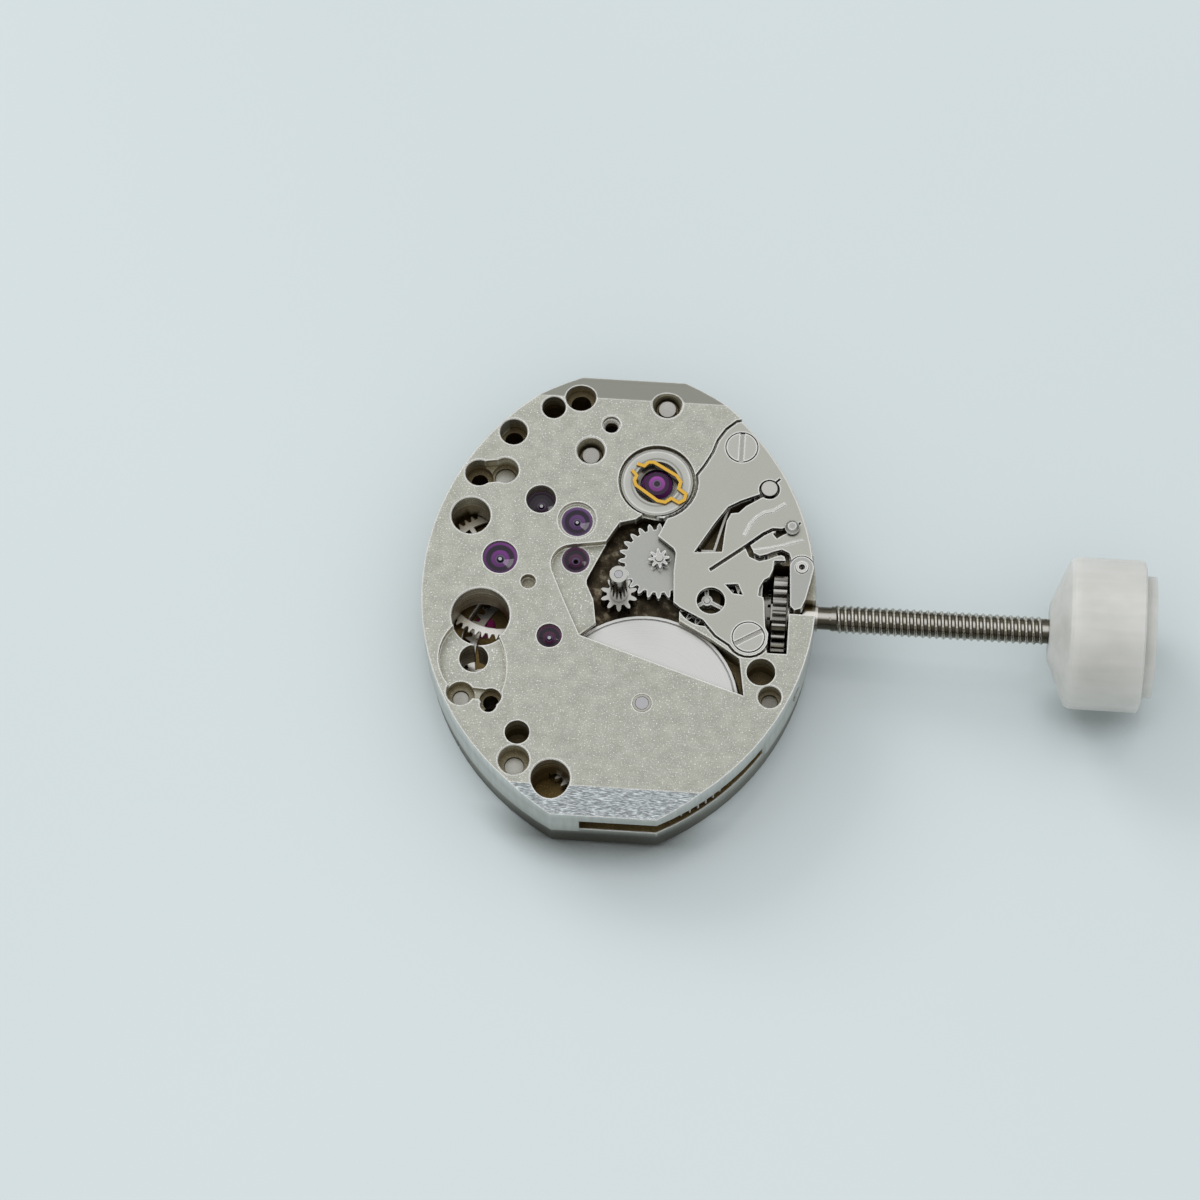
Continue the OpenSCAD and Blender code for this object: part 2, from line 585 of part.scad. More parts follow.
// Bridge jewels: place, radius, lower face, upper face, hole
bridge_jewel_seats = [
    [third_at, 0.45, back + 0.12, back + 0.36, pivot_r],
    [fourth_at, 0.45, back + 0.12, back + 0.36, pivot_r],
    [escape_at, 0.40, back + 0.12, back + 0.36, pivot_r]
];
module jewel(r, hole, top, bottom, sink) {
    difference() {
        translate([0, 0, bottom]) cylinder(r = r, h = top - bottom);
        translate([0, 0, bottom - cut]) cylinder(r = hole + fit, h = top - bottom + 2 * cut);
        translate([0, 0, top - sink]) cylinder(r1 = hole + fit, r2 = 0.85 * r, h = sink + fit);
    }
}
module bridge_jewels() {
    color([0.72, 0.12, 0.38]) {
        for (j = bridge_jewel_seats)
            place(j[0], 0) jewel(j[1], j[4], j[3], j[2], 0.08);
        place(pallet_at, 0) jewel(0.28, pivot_r, pallet_bridge_top - 0.04, pallet_bridge_top - 0.16, 0.04);
        disc(0.375, third_wheel_z - 0.06, third_wheel_z - 0.32, deep_jewel_at);
    }
}
module plate_jewels() {
    color([0.45, 0.10, 0.42]) {
        place(third_at, 0) jewel(0.40, pivot_r, -0.14, -0.50, 0.14);
        place(fourth_at, 0) jewel(0.56, pivot_r, -0.10, -0.40, 0.14);
        place(escape_at, 0) jewel(0.48, pivot_r, -0.56, -0.78, 0.10);
        place(pallet_at, 0) jewel(0.50, pivot_r, -0.16, -0.48, 0.14);
        place(recess_jewel_at, 0) jewel(0.44, pivot_r, -0.32, -0.64, 0.14);
    }
}
module centre_bushes() {
    color([0.76, 0.76, 0.74]) {
        ring(0.30, 0.21 + fit, 0, -barrel_skin, barrel_at);
        ring(0.38, 0.16 + fit, centre_arm_top, centre_arm_top - centre_arm_t, centre_at);
    }
}

// Balance cock
module balance_cock() {
    top = -plate_t;
    color([0.78, 0.77, 0.74]) difference() {
        union() {
            difference() {
                intersection() {
                    outline(top, back, bridge_inset);
                    slab([[-1.86, 4.20], [0.98, 3.92], [2.30, 6.14], [2.60, 9], [-2.12, 9]], top, back);
                }
                disc(balance_gap_r, top + cut, back - cut, balance_at);
            }
            slab(band([balance_at, [0.10, 5.50], [-0.45, 6.40]], 1.5), cock_z + cock_t, cock_z);
            disc(1.12, cock_z + cock_t, cock_z, balance_at);
        }
        disc(0.62 + fit, cock_z + cock_t + cut, cock_z - cut, balance_at);
        disc(screw_holes[4][1] + fit, top + cut, back - cut, screw_holes[4][0]);
        disc(0.46, back + 0.30, back - cut, screw_holes[4][0]);
        for (h = pin_holes)
            disc(h[1] + fit, top + cut, -plate_t - 0.60, h[0]);
    }
}
module pallet_bridge() {
    color([0.78, 0.77, 0.74]) difference() {
        union() {
            slab(band([pallet_foot_at, pallet_at], 0.7), pallet_bridge_top, pallet_bridge_top - 0.20);
            disc(0.42, pallet_bridge_top, pallet_bridge_top - 0.20, pallet_at);
            disc(0.32, pallet_foot_top, pallet_bridge_top - 0.20, pallet_foot_at);
        }
        disc(0.28 + fit, 0, -2, pallet_at);
    }
}
module bridge_screws() {
    color([0.60, 0.62, 0.66]) {
        for (h = screw_holes)
            place(h[0], back + 0.30) mirror([0, 0, 1])
                screw(0.44, 0.24, h[1], -h[3] - back - 0.30, 30 + 40 * h[0][0]);
        place(east_screw_at, back + 0.30) mirror([0, 0, 1])
            screw(0.44, 0.24, 0.26, 1.60, 75);
        place(crown_at, ratchet_z - 0.02) mirror([0, 0, 1]) screw(0.92, 0.15, 0.24, 0.45, 20);
        place(click_at, ratchet_z - 0.02) mirror([0, 0, 1]) screw(0.30, 0.13, 0.14, 0.50, 70);
    }
}

// Cover plate of the keyless work, with its spring finger
module cover_plate() {
    top = cover_z + cover_t;
    color([0.72, 0.73, 0.72]) difference() {
        union() {
            intersection() {
                slab(cover_outline, top, cover_z);
                outline(top, cover_z, 0.06);
            }
            slab(finger_rib, top + 0.04, cover_z + cut);
            slab(tongue_rib, top + 0.03, cover_z + cut);
        }
        slab(slit_wedge, 1, -1);
        slab(slit_long, 1, -1);
        slab(slit_hook, 1, -1);
        slab(triangle_hole, 1, -1);
        slab(yoke_notch, 1, -1);
        slab(knob_notch, 1, -1);
        slab(band(arc(lever_at, dist(lever_at, lever_knob_at), 99, 132, 6), 0.22), 1, -1);
        disc(lever_hub_r + 0.03, 1, -1, lever_at);
        disc(0.46, 1, -1, [2.98, -0.14]);
        disc(0.34, 1, -1, yoke_at);
        for (at = [upper_screw_at, lower_screw_at]) {
            disc(cover_screw_r + 0.04, 1, cover_z + screw_lip, at);
            disc(0.26, 1, -1, at);
        }
    }
}
// The cover screws sit in counterbores that leave a lip of the cover below their heads
screw_lip = 0.06;
module cover_screws() {
    head_h = cover_t - screw_lip + 0.01;
    color([0.70, 0.70, 0.69]) {
        place(upper_screw_at, cover_z + screw_lip) screw(cover_screw_r, head_h, 0.25, 0.89, 90);
        place(lower_screw_at, cover_z + screw_lip) screw(cover_screw_r, head_h, 0.25, 0.89, 31);
    }
}
module plate_pins() {
    color([0.66, 0.66, 0.66]) {
        disc(0.26, 0.06, lever_z + lever_t + 0.04, yoke_at);
        disc(0.23, lever_z + lever_t + 0.05, -1.10, yoke_at);
        disc(0.13, 0.03, -1.0, minute_at);
        disc(0.10, gear_z + setting_t + 0.02, -1.0, setting_at);
        for (h = pin_holes)
            disc(h[1], -h[3] + 0.18, -plate_t - 0.58, h[0]);
    }
}
module yoke_spring() {
    color([0.74, 0.75, 0.76])
        slab(band([[2.56, 1.66], [2.98, 1.68], [3.18, 2.52], [3.34, 3.12], [3.42, 3.26]], 0.08),
            lever_z + lever_t, lever_z);
}
module click_spring() {
    color([0.66, 0.67, 0.70])
        slab(band(arc(barrel_at, 2.78, 209, 244, 8), 0.06), ratchet_z + 0.20, ratchet_z + 0.02);
}
// Screw in the rim that clamps the dial's right foot
foot_screw_l = dist(foot_screw_at, right_foot_at) - 0.42;
module foot_screw(r, outside = 0) {
    translate([foot_screw_at[0], foot_screw_at[1], foot_screw_z])
        rotate([0, 90, dir(foot_screw_at, right_foot_at)])
            translate([0, 0, -outside]) cylinder(r = r, h = foot_screw_l + outside);
}
module dial_foot_screws() {
    color([0.62, 0.62, 0.62]) foot_screw(0.24);
}

// Shock settings, dial side and cock side
module shock_block(flange_r, body_r, top, flange_t, depth) {
    translate([0, 0, top]) difference() {
        union() {
            translate([0, 0, -flange_t]) cylinder(r = flange_r, h = flange_t);
            translate([0, 0, -depth]) cylinder(r = body_r, h = depth);
        }
        translate([0, 0, -0.20]) cylinder(r = body_r * 0.92, h = 1);
        translate([0, 0, -depth + 0.16]) cylinder(r = cap_jewel_r + 0.04, h = 1);
        translate([0, 0, -depth - cut]) cylinder(r = 0.16, h = 1);
    }
}
module shock_jewels(top, gap) {
    translate([0, 0, top - 0.18]) cylinder(r1 = cap_jewel_r, r2 = cap_jewel_r - 0.10, h = 0.18);
    translate([0, 0, top - 0.18 - gap - 0.12]) difference() {
        cylinder(r = cap_jewel_r + 0.03, h = 0.12);
        translate([0, 0, -cut]) cylinder(r = pivot_r + fit, h = 1);
    }
}
spring_half = [[-0.90, 0.14], [-0.66, 0.21], [-0.62, 0.40], [-0.48, 0.50], [0.40, 0.54],
    [0.64, 0.44], [0.72, 0.21], [1.02, 0.19]];
shock_spring_path = concat(spring_half, [[1.10, 0]],
    reversed([for (p = spring_half) [p[0], -p[1]]]));
module shock_spring(size, t) {
    slab(band([for (p = shock_spring_path) size * p], 0.11 * size), t, 0);
}
module dial_shock_setting() {
    color([0.72, 0.72, 0.71]) place(balance_at, 0) shock_block(shock_r, 0.80, -0.12, 0.18, 0.64);
}
module dial_shock_jewels() {
    color([0.62, 0.20, 0.66]) place(balance_at, 0) shock_jewels(-0.24, 0.06);
}
module dial_shock_spring() {
    color([0.85, 0.66, 0.16]) place(balance_at, -0.12) rotate([0, 0, -32]) shock_spring(1, 0.08);
}
module cock_shock_setting() {
    color([0.72, 0.72, 0.71])
        place(balance_at, 0) mirror([0, 0, 1]) shock_block(0.94, 0.62, -cock_z + 0.12, 0.12, 0.62);
}
module cock_shock_jewels() {
    color([0.62, 0.20, 0.66]) place(balance_at, 0) mirror([0, 0, 1]) shock_jewels(-cock_z, 0.04);
}
module cock_shock_spring() {
    color([0.85, 0.66, 0.16])
        place(balance_at, cock_z - 0.18) rotate([0, 0, 60]) shock_spring(0.72, 0.06);
}

// Balance
staff_top = -0.44;
staff_bottom = cock_z + 0.20;
module balance_wheel() {
    color([0.80, 0.70, 0.42]) place(balance_at, 0) {
        ring(balance_r, balance_r - balance_rim_w, balance_z + balance_t, balance_z);
        difference() {
            union() {
                for (a = [0, 120, 240])
                    rotate([0, 0, a]) block([0, -0.11], [balance_r - balance_rim_w + 0.05, 0.11],
                        balance_z + 0.18, balance_z + 0.06);
                disc(0.42, balance_z + 0.18, balance_z + 0.06);
            }
            disc(0.20 + fit, 0, -3);
        }
    }
}
module balance_staff() {
    color([0.62, 0.63, 0.66]) place(balance_at, 0) {
        disc(0.20, -0.95, -2.20);
        disc(pivot_r, staff_top, -0.66);
        disc(0.11, -0.64, -0.96);
        disc(0.11, -2.15, -2.44);
        disc(pivot_r, -2.40, staff_bottom);
    }
}
module roller() {
    color([0.66, 0.67, 0.70]) place(balance_at, 0) difference() {
        union() {
            disc(0.55, roller_z + roller_t, roller_z);
            disc(0.28, fork_z + fork_t + 0.06, roller_z);
        }
        disc(0.20 + fit, 0, -3);
        place(impulse_at, -3) cylinder(r = 0.05 + fit, h = 3);
    }
}
impulse_at = polar(0.42, dir(balance_at, pallet_at));
module impulse_jewel() {
    color([0.72, 0.12, 0.38]) place(balance_at, 0)
        disc(0.05, fork_z + fork_t + 0.05, roller_z, impulse_at);
}
module collet() {
    color([0.80, 0.70, 0.42]) ring(0.38, 0.20 + fit, -1.95, -2.13, balance_at);
}
hair_r = 1.33;
module hairspring() {
    color([0.30, 0.36, 0.52]) place(balance_at, 0)
        slab(spiral(0.42, hair_r, hairspring_turns, 0.03, 40), -1.97, -2.11);
}
module hairspring_stud() {
    color([0.66, 0.67, 0.70]) disc(0.10, -1.94, cock_z + cock_t, balance_at + polar(hair_r + 0.12, 110));
}
module regulator() {
    color([0.66, 0.67, 0.70]) place(balance_at, 0) {
        difference() {
            union() {
                disc(1.20, cock_z, cock_z - 0.12);
                slab([[0, -0.2], [1.90, -0.07], [1.90, 0.07], [0, 0.2]], cock_z, cock_z - 0.12);
                rotate([0, 0, -100]) block([0, -0.13], [1.48, 0.13], cock_z, cock_z - 0.12);
            }
            disc(0.94 + run, cock_z + cut, cock_z - 0.12 - cut);
        }
        for (r = [hair_r - 0.03 - 0.05, hair_r + 0.09])
            disc(0.035, -2.0, cock_z - 0.06, polar(r, -100));
    }
}

// Barrel
module barrel_drum() {
    color([0.82, 0.82, 0.84]) place(barrel_at, 0) difference() {
        union() {
            disc(drum_r, drum_top, drum_bottom);
            slab(plain_gear(barrel_n, barrel_m, 0), drum_tooth_top, drum_bottom);
        }
        disc(drum_r - 0.25, drum_top - 0.16, drum_bottom - cut);
        ring(drum_r - 0.09, drum_r - 0.14, drum_top + cut, drum_top - 0.04);
        disc(0.30, 0, -2);
        ring(drum_r - 0.10, drum_r - 0.40, drum_bottom + 0.12, drum_bottom - cut);
    }
}
module barrel_lid() {
    color([0.82, 0.82, 0.84])
        ring(drum_r - 0.11, 0.40 + run, drum_bottom + 0.12, drum_bottom + 0.02, barrel_at);
}
module mainspring() {
    color([0.50, 0.54, 0.60]) place(barrel_at, 0)
        slab(spiral(core_r + 0.08, drum_r - 0.30, mainspring_turns, mainspring_t),
            drum_top - 0.22, drum_bottom + 0.20);
}
module barrel_arbor() {
    color([0.66, 0.67, 0.70]) place(barrel_at, 0) difference() {
        union() {
            disc(0.21, 0, drum_top - 0.18);
            disc(0.28, drum_top - 0.02, drum_top - 0.20);
            disc(core_r, drum_top - 0.19, drum_bottom + 0.15);
            disc(0.40, drum_bottom + 0.16, ratchet_floor - 0.02);
            translate([-0.28, -0.28, ratchet_z]) cube([0.56, 0.56, ratchet_floor - ratchet_z]);
        }
        disc(0.20 + fit, ratchet_z + 0.32, ratchet_z - cut);
    }
}
module ratchet_wheel() {
    color([0.74, 0.75, 0.77]) place(barrel_at, 0) difference() {
        slab(plain_gear(ratchet_n, crown_m, ratchet_turn), ratchet_z + ratchet_t, ratchet_z);
        translate([-0.29, -0.29, ratchet_z - cut]) cube([0.58, 0.58, 1]);
    }
}
module ratchet_screw() {
    color([0.60, 0.62, 0.66])
        place(barrel_at, ratchet_z) mirror([0, 0, 1]) screw(0.75, 0.16, 0.20, 0.30, 40);
}
module crown_wheel() {
    color([0.74, 0.75, 0.77]) place(crown_at, 0) difference() {
        slab(plain_gear(crown_n, crown_m, 0), ratchet_z + ratchet_t, ratchet_z);
        disc(0.66 + run, 0, -4);
    }
}
module click() {
    color([0.66, 0.67, 0.70]) place(click_at, 0) difference() {
        union() {
            disc(0.34, ratchet_z + 0.22, ratchet_z);
            slab([[-0.10, 0.30], [0.30, -0.10], [0.66, 0.72], [0.57, 0.80]], ratchet_z + 0.22, ratchet_z);
        }
        disc(0.14 + run, 0, -4);
    }
}

// Stem, pinions and knob, all round the stem's axis
module along_stem(from, to, r) {
    translate([from, 0, stem_z]) rotate([0, 90, 0]) cylinder(r = r, h = to - from);
}
plate_edge = movement_w / 2;
knob_x = 13.95;
module winding_stem() {
    color([0.74, 0.74, 0.73]) {
        along_stem(2.40, 3.31, 0.22);
        translate([3.30, -0.28, stem_z - 0.28]) cube([1.70, 0.56, 0.56]);
        along_stem(4.98, 5.65, stem_r);
        along_stem(5.64, 5.96, 0.28);
        along_stem(5.95, 6.45, stem_r);
        along_stem(6.44, 6.90, 0.37);
        along_stem(6.89, knob_x + 1.5, thread_r);
    }
}
module winding_knob() {
    color([0.86, 0.86, 0.83]) translate([knob_x, 0, stem_z]) rotate([0, 90, 0]) rotate_extrude()
        polygon([[thread_r, 0], [0.95, 0], [knob_r - 0.10, 0.60], [knob_r - 0.02, 0.72],
            [knob_r, 0.90], [knob_r, knob_l - 0.42], [knob_r - 0.12, knob_l - 0.36],
            [knob_r - 0.50, knob_l - 0.36], [knob_r - 0.50, knob_l], [0, knob_l], [0, 1.5],
            [thread_r, 1.5]]);
}
module winding_pinion() {
    color([0.74, 0.74, 0.73]) translate([4.98, 0, stem_z]) rotate([0, 90, 0]) difference() {
        union() {
            linear_extrude(0.44) polygon(fine_gear(winding_n, winding_m, 0));
            cylinder(r = winding_tip - 0.34, h = 0.5);
        }
        translate([0, 0, -cut]) cylinder(r = stem_r + fit, h = 1);
        for (i = [0:11])
            rotate([0, 0, i * 30]) translate([stem_r, -0.05, -cut]) cube([0.40, 0.10, 0.12]);
    }
}
module sliding_pinion() {
    color([0.74, 0.74, 0.73]) translate([0, 0, stem_z]) rotate([0, 90, 0]) difference() {
        union() {
            translate([0, 0, 3.92]) cylinder(r = sliding_r, h = 0.42);
            translate([0, 0, 3.92]) cylinder(r = 0.52, h = 1.0);
            translate([0, 0, 4.66]) cylinder(r = sliding_r, h = 0.26);
        }
        translate([-0.29, -0.29, 3]) cube([0.58, 0.58, 3]);
        for (i = [0:8])
            rotate([0, 0, i * 40]) translate([0.55, -0.11, 3.90]) cube([0.40, 0.22, 0.24]);
        for (i = [0:11])
            rotate([0, 0, i * 30]) translate([0.52, -0.05, 4.82]) cube([0.40, 0.10, 0.12]);
    }
}

// Setting lever, yoke and setting wheel
module button(r, h) {
    cylinder(r = r, h = h * 0.4);
    translate([0, 0, h * 0.4]) cylinder(r1 = r, r2 = r * 0.55, h = h * 0.6);
}
module setting_lever() {
    color([0.72, 0.73, 0.73]) difference() {
        union() {
            slab(lever_outline, lever_z + lever_t, lever_z);
            slab(lever_tail, cover_z + cover_t, lever_z);
            disc(lever_hub_r, cover_z + cover_t, lever_z, lever_at);
            disc(0.10, lever_z + cut, stem_z + 0.33, lever_pin_at);
            disc(0.09, cover_z + cover_t + 0.10, lever_z + lever_t - cut, lever_knob_at);
            place(lever_knob_at, cover_z + cover_t + 0.06) button(0.24, 0.18);
        }
        disc(0.20 + fit, 1, -1, lever_at);
    }
}
module setting_lever_stud() {
    color([0.70, 0.70, 0.69]) difference() {
        union() {
            disc(0.20, cover_z + cover_t + 0.05, lever_floor + cut, lever_at);
            disc(0.16, lever_floor + 0.03, -1.08, lever_at);
        }
        disc(0.10, 1, cover_z, lever_at);
    }
}
module yoke() {
    color([0.72, 0.73, 0.73]) difference() {
        union() {
            slab(yoke_outline, lever_z + lever_t, lever_z);
            block([4.42, -0.25], [4.58, 0.25], lever_z + cut, stem_z + 0.55);
        }
        disc(0.23 + fit, 1, -1, yoke_at);
    }
}
module setting_wheel() {
    color([0.72, 0.73, 0.74]) place(setting_at, 0)
        crossed_wheel(fine_gear(setting_n, setting_m, setting_turn), 0.58, 0.18, 0.10 + fit, 3, 0.13,
            gear_z + setting_t, gear_z, 95);
}

// Motion work
module minute_wheel() {
    color([0.72, 0.73, 0.74]) place(minute_at, 0) difference() {
        union() {
            slab(fine_gear(minute_n, motion_m, minute_turn), minute_z + minute_t, minute_z);
            slab(fine_gear(8, 0.070, 10), -0.02, minute_z);
        }
        disc(0.13 + fit, 1, -1);
    }
}
module cannon_pinion() {
    color([0.74, 0.74, 0.74]) difference() {
        union() {
            slab(fine_gear(cannon_n, motion_m, cannon_turn), cannon_top, cannon_foot);
            disc(cannon_r, cannon_h, cannon_foot);
        }
        disc(arbor_r + fit, cannon_h + 1, -1);
    }
}

// Going train
module centre_wheel() {
    color([0.80, 0.70, 0.42]) crossed_wheel(plain_gear(centre_n, centre_m, 0), centre_tip - 0.40, 0.55,
        0.30 + fit, 5, 0.18, centre_wheel_z + wheel_t, centre_wheel_z, 20);
}
module centre_pinion() {
    color([0.66, 0.67, 0.70]) {
        disc(arbor_r, cannon_h, drum_tooth_top);
        slab(plain_gear(centre_pinion_n, barrel_m, centre_turn), drum_tooth_top + 0.06, drum_bottom);
        disc(0.30, drum_bottom + cut, centre_wheel_z - cut);
        disc(0.16, centre_wheel_z, centre_arm_top - centre_arm_t + 0.02);
    }
}
module third_wheel() {
    color([0.80, 0.70, 0.42]) place(third_at, 0) crossed_wheel(plain_gear(third_n, third_m, 0),
        third_tip - 0.42, 0.50, 0.17 + fit, 5, 0.18, third_wheel_z + wheel_t, third_wheel_z, 50);
}
module third_pinion() {
    color([0.66, 0.67, 0.70]) place(third_at, 0) {
        disc(0.17, -0.60, back + 0.42);
        slab(plain_gear(third_pinion_n, centre_m, third_turn), -plate_t + 0.13, third_wheel_z + wheel_t);
        disc(pivot_r, -0.20, -0.62);
        disc(pivot_r, back + 0.44, back + 0.16);
    }
}
module fourth_wheel() {
    color([0.80, 0.70, 0.42]) place(fourth_at, 0) crossed_wheel(plain_gear(fourth_n, fourth_m, 0),
        fourth_tip - 0.36, 0.42, 0.17 + fit, 4, 0.16, fourth_wheel_z + wheel_t, fourth_wheel_z, 35);
}
module fourth_pinion() {
    color([0.66, 0.67, 0.70]) place(fourth_at, 0) {
        disc(0.17, -0.48, back + 0.42);
        slab(plain_gear(fourth_pinion_n, third_m, fourth_turn),
            third_wheel_z + wheel_t + 0.06, third_wheel_z - 0.06);
        disc(pivot_r, -0.16, -0.50);
        disc(pivot_r, back + 0.44, back + 0.16);
    }
}
function escape_tooth(a) = [polar(escape_r - 0.30, a - 7), polar(escape_r - 0.10, a + 1.5),
    polar(escape_r, a + 2.5), polar(escape_r - 0.035, a + 6.5), polar(escape_r - 0.30, a + 1)];
module escape_wheel() {
    color([0.70, 0.71, 0.74]) place(escape_at, 0)
        crossed_wheel([for (i = [0:14]) each escape_tooth(-34 + i * 24)], escape_r - 0.42, 0.28,
            0.14 + fit, 4, 0.12, escape_wheel_z + 0.10, escape_wheel_z, 10);
}
module escape_pinion() {
    color([0.66, 0.67, 0.70]) place(escape_at, 0) {
        disc(0.14, -0.86, back + 0.42);
        slab(plain_gear(escape_pinion_n, fourth_m, escape_turn),
            fourth_wheel_z + 0.18, fourth_wheel_z - 0.06);
        disc(pivot_r, -0.60, -0.88);
        disc(pivot_r, back + 0.44, back + 0.16);
    }
}

// Lever escapement
pallet_dir = dir(escape_at, pallet_at);
function stone_at(r, side) = escape_at + polar(r, pallet_dir + 30 * side);
function stone_outline(side) = band([stone_at(escape_r - 0.04, side), stone_at(escape_r + 0.26, side)], 0.12);
fork_l = dist(pallet_at, balance_at) - 0.37;
module pallet_fork() {
    color([0.66, 0.67, 0.70]) difference() {
        union() {
            slab(band([stone_at(escape_r + 0.30, 1), stone_at(escape_r + 0.24, 0.6), pallet_at,
                stone_at(escape_r + 0.24, -0.6), stone_at(escape_r + 0.30, -1)], 0.24),
                fork_z + fork_t, fork_z);
            disc(0.20, fork_z + fork_t, fork_z, pallet_at);
            place(pallet_at, 0) rotate([0, 0, dir(pallet_at, balance_at)]) {
                slab([[0, -0.11], [fork_l - 0.3, -0.07], [fork_l - 0.12, -0.18], [fork_l, -0.16],
                    [fork_l, 0.16], [fork_l - 0.12, 0.18], [fork_l - 0.3, 0.07], [0, 0.11]],
                    fork_z + fork_t, fork_z);
                block([fork_l - 0.35, -0.025], [fork_l + 0.05, 0.025],
                    fork_z + fork_t + 0.06, fork_z + fork_t);
            }
        }
        for (side = [-1, 1])
            slab(stone_outline(side), 0, -3);
        disc(0.09 + fit, 0, -3, pallet_at);
        place(pallet_at, -3) rotate([0, 0, dir(pallet_at, balance_at)])
            translate([fork_l - 0.14, -0.06, 0]) cube([0.30, 0.12, 3 + fork_z + fork_t]);
    }
}
module pallet_arbor() {
    color([0.66, 0.67, 0.70]) place(pallet_at, 0) {
        disc(0.09, -0.56, -1.26);
        disc(pivot_r - 0.01, -0.22, -0.58);
        disc(pivot_r - 0.01, -1.24, -1.42);
    }
}
module pallet_stones() {
    color([0.72, 0.12, 0.38]) for (side = [-1, 1])
        slab(stone_outline(side), fork_z + fork_t + 0.02, fork_z - 0.02);
}

main_plate();
barrel_bridge();
train_bridge();
balance_cock();
pallet_bridge();
bridge_screws();
cover_plate();
cover_screws();
plate_jewels();
bridge_jewels();
centre_bushes();
dial_shock_setting();
dial_shock_jewels();
dial_shock_spring();
cock_shock_setting();
cock_shock_jewels();
cock_shock_spring();
hairspring();
hairspring_stud();
plate_pins();
yoke_spring();
click_spring();
dial_foot_screws();
barrel_drum();
barrel_lid();
mainspring();
barrel_arbor();
ratchet_wheel();
ratchet_screw();
crown_wheel();
winding_pinion();
winding_stem();
winding_knob();
sliding_pinion();
setting_lever();
setting_lever_stud();
yoke();
setting_wheel();
minute_wheel();
cannon_pinion();
centre_wheel();
centre_pinion();
third_wheel();
third_pinion();
fourth_wheel();
fourth_pinion();
escape_wheel();
escape_pinion();
pallet_fork();
pallet_arbor();
pallet_stones();
balance_wheel();
balance_staff();
roller();
impulse_jewel();
collet();
regulator();
click();
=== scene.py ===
import json
import math

import bmesh
import bpy
from mathutils import Matrix, Vector


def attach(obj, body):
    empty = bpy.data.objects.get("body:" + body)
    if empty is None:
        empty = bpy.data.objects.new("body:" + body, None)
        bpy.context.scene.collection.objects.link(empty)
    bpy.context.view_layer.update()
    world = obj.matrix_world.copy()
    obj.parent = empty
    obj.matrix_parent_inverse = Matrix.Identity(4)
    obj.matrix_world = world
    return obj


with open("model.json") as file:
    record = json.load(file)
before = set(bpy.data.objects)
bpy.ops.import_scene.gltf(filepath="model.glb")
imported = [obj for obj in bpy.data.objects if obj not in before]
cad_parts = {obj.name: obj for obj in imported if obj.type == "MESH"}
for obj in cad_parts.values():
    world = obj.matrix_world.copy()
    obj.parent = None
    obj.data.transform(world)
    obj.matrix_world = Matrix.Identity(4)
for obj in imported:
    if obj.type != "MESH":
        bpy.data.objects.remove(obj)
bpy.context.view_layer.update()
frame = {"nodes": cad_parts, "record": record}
NODES = frame["nodes"]

# Lengths are written in millimetres, and MM turns them into the frame's metres
MM = 0.001
X, Y, Z = 0, 1, 2
WHITE = (1, 1, 1)
EVEN = (1, 1, 1)

# Camera, fitted to the photograph: a long lens about 68 degrees above the dial
AZIMUTH, ELEVATION, ROLL = math.radians(5.459), math.radians(68.315), math.radians(-1.707)
DISTANCE, PIXELS_PER_MM = 173.146, 30.98
AIM = (-0.612, -0.296)
FRAME_PIXELS, SENSOR_WIDTH = 1200, 36
CLIP_FROM, CLIP_TO = 5, 5000

# The part's own sizes, which the materials, the threads and the floor follow. The dial face lies at height 0.
RIM_R, RIM_CENTRE, RIM_END, RIM_SKIN = 8.55, 2.175, 7.62, 0.10
SLOPE_Y, UNDER_FACE = 6.74, -0.004
BACK_Z, BRIDGE_TOP_Z = -3.0, -1.9
BARREL_AT, BALANCE_AT = (0.99, -3.81), (0.98, 3.92)
SETTING_R, CAP_R = 1.2, 0.50
WINDOW_AT, WINDOW_RADII, WINDOW_Z = (0.3, 0.9), (2.6, 2.2), -0.32
STEM_Z = -1.35
KNOB_LOW, EDGE_LOW = (14.85, 0, -3.825), (-6.3, 0, BACK_Z)

# Jewels of the plate: place, radius and tone
PLATE_JEWELS = [((-2.14, -1.68), 0.40, (0.055, 0.010, 0.035)), ((-3.92, 0.94), 0.56, (0.110, 0.020, 0.140)),
                ((-2.74, 3.05), 0.48, (0.030, 0.016, 0.032)), ((-1.52, 2.39), 0.50, (0.075, 0.028, 0.110)),
                ((-1.48, 1.11), 0.44, (0.060, 0.014, 0.045))]
CAP_JEWELS = [(BALANCE_AT, CAP_R, (0.21, 0.035, 0.23))]

# Thread of the stem, and the small one in a hole of the dial side
STEM_THREAD = {"start": (6.90, 0, STEM_Z), "along": (1, 0, 0), "side": (0, 0, 1), "length": 13.9 - 6.90,
               "core": 0.39, "crest": 0.466, "pitch": 0.225}
HOLE_THREAD = {"start": (-0.63, 5.83, -0.60), "along": (0, 0, 1), "side": (1, 0, 0), "length": 0.48,
               "core": 0.262, "crest": 0.215, "pitch": 0.12}
STEPS_PER_TURN = 24
ROOT_DEPTH = 0.03
FOOT_HALF, CREST_HALF = 0.38, 0.08  # half widths of the ridge, in pitches

# Painted highlights brighten sharp edge lines, above a height of their own in each material
HIGHLIGHT_WIDTH, HIGHLIGHT_WEIGHT = 0.075, 0.9
NO_HIGHLIGHT = 9


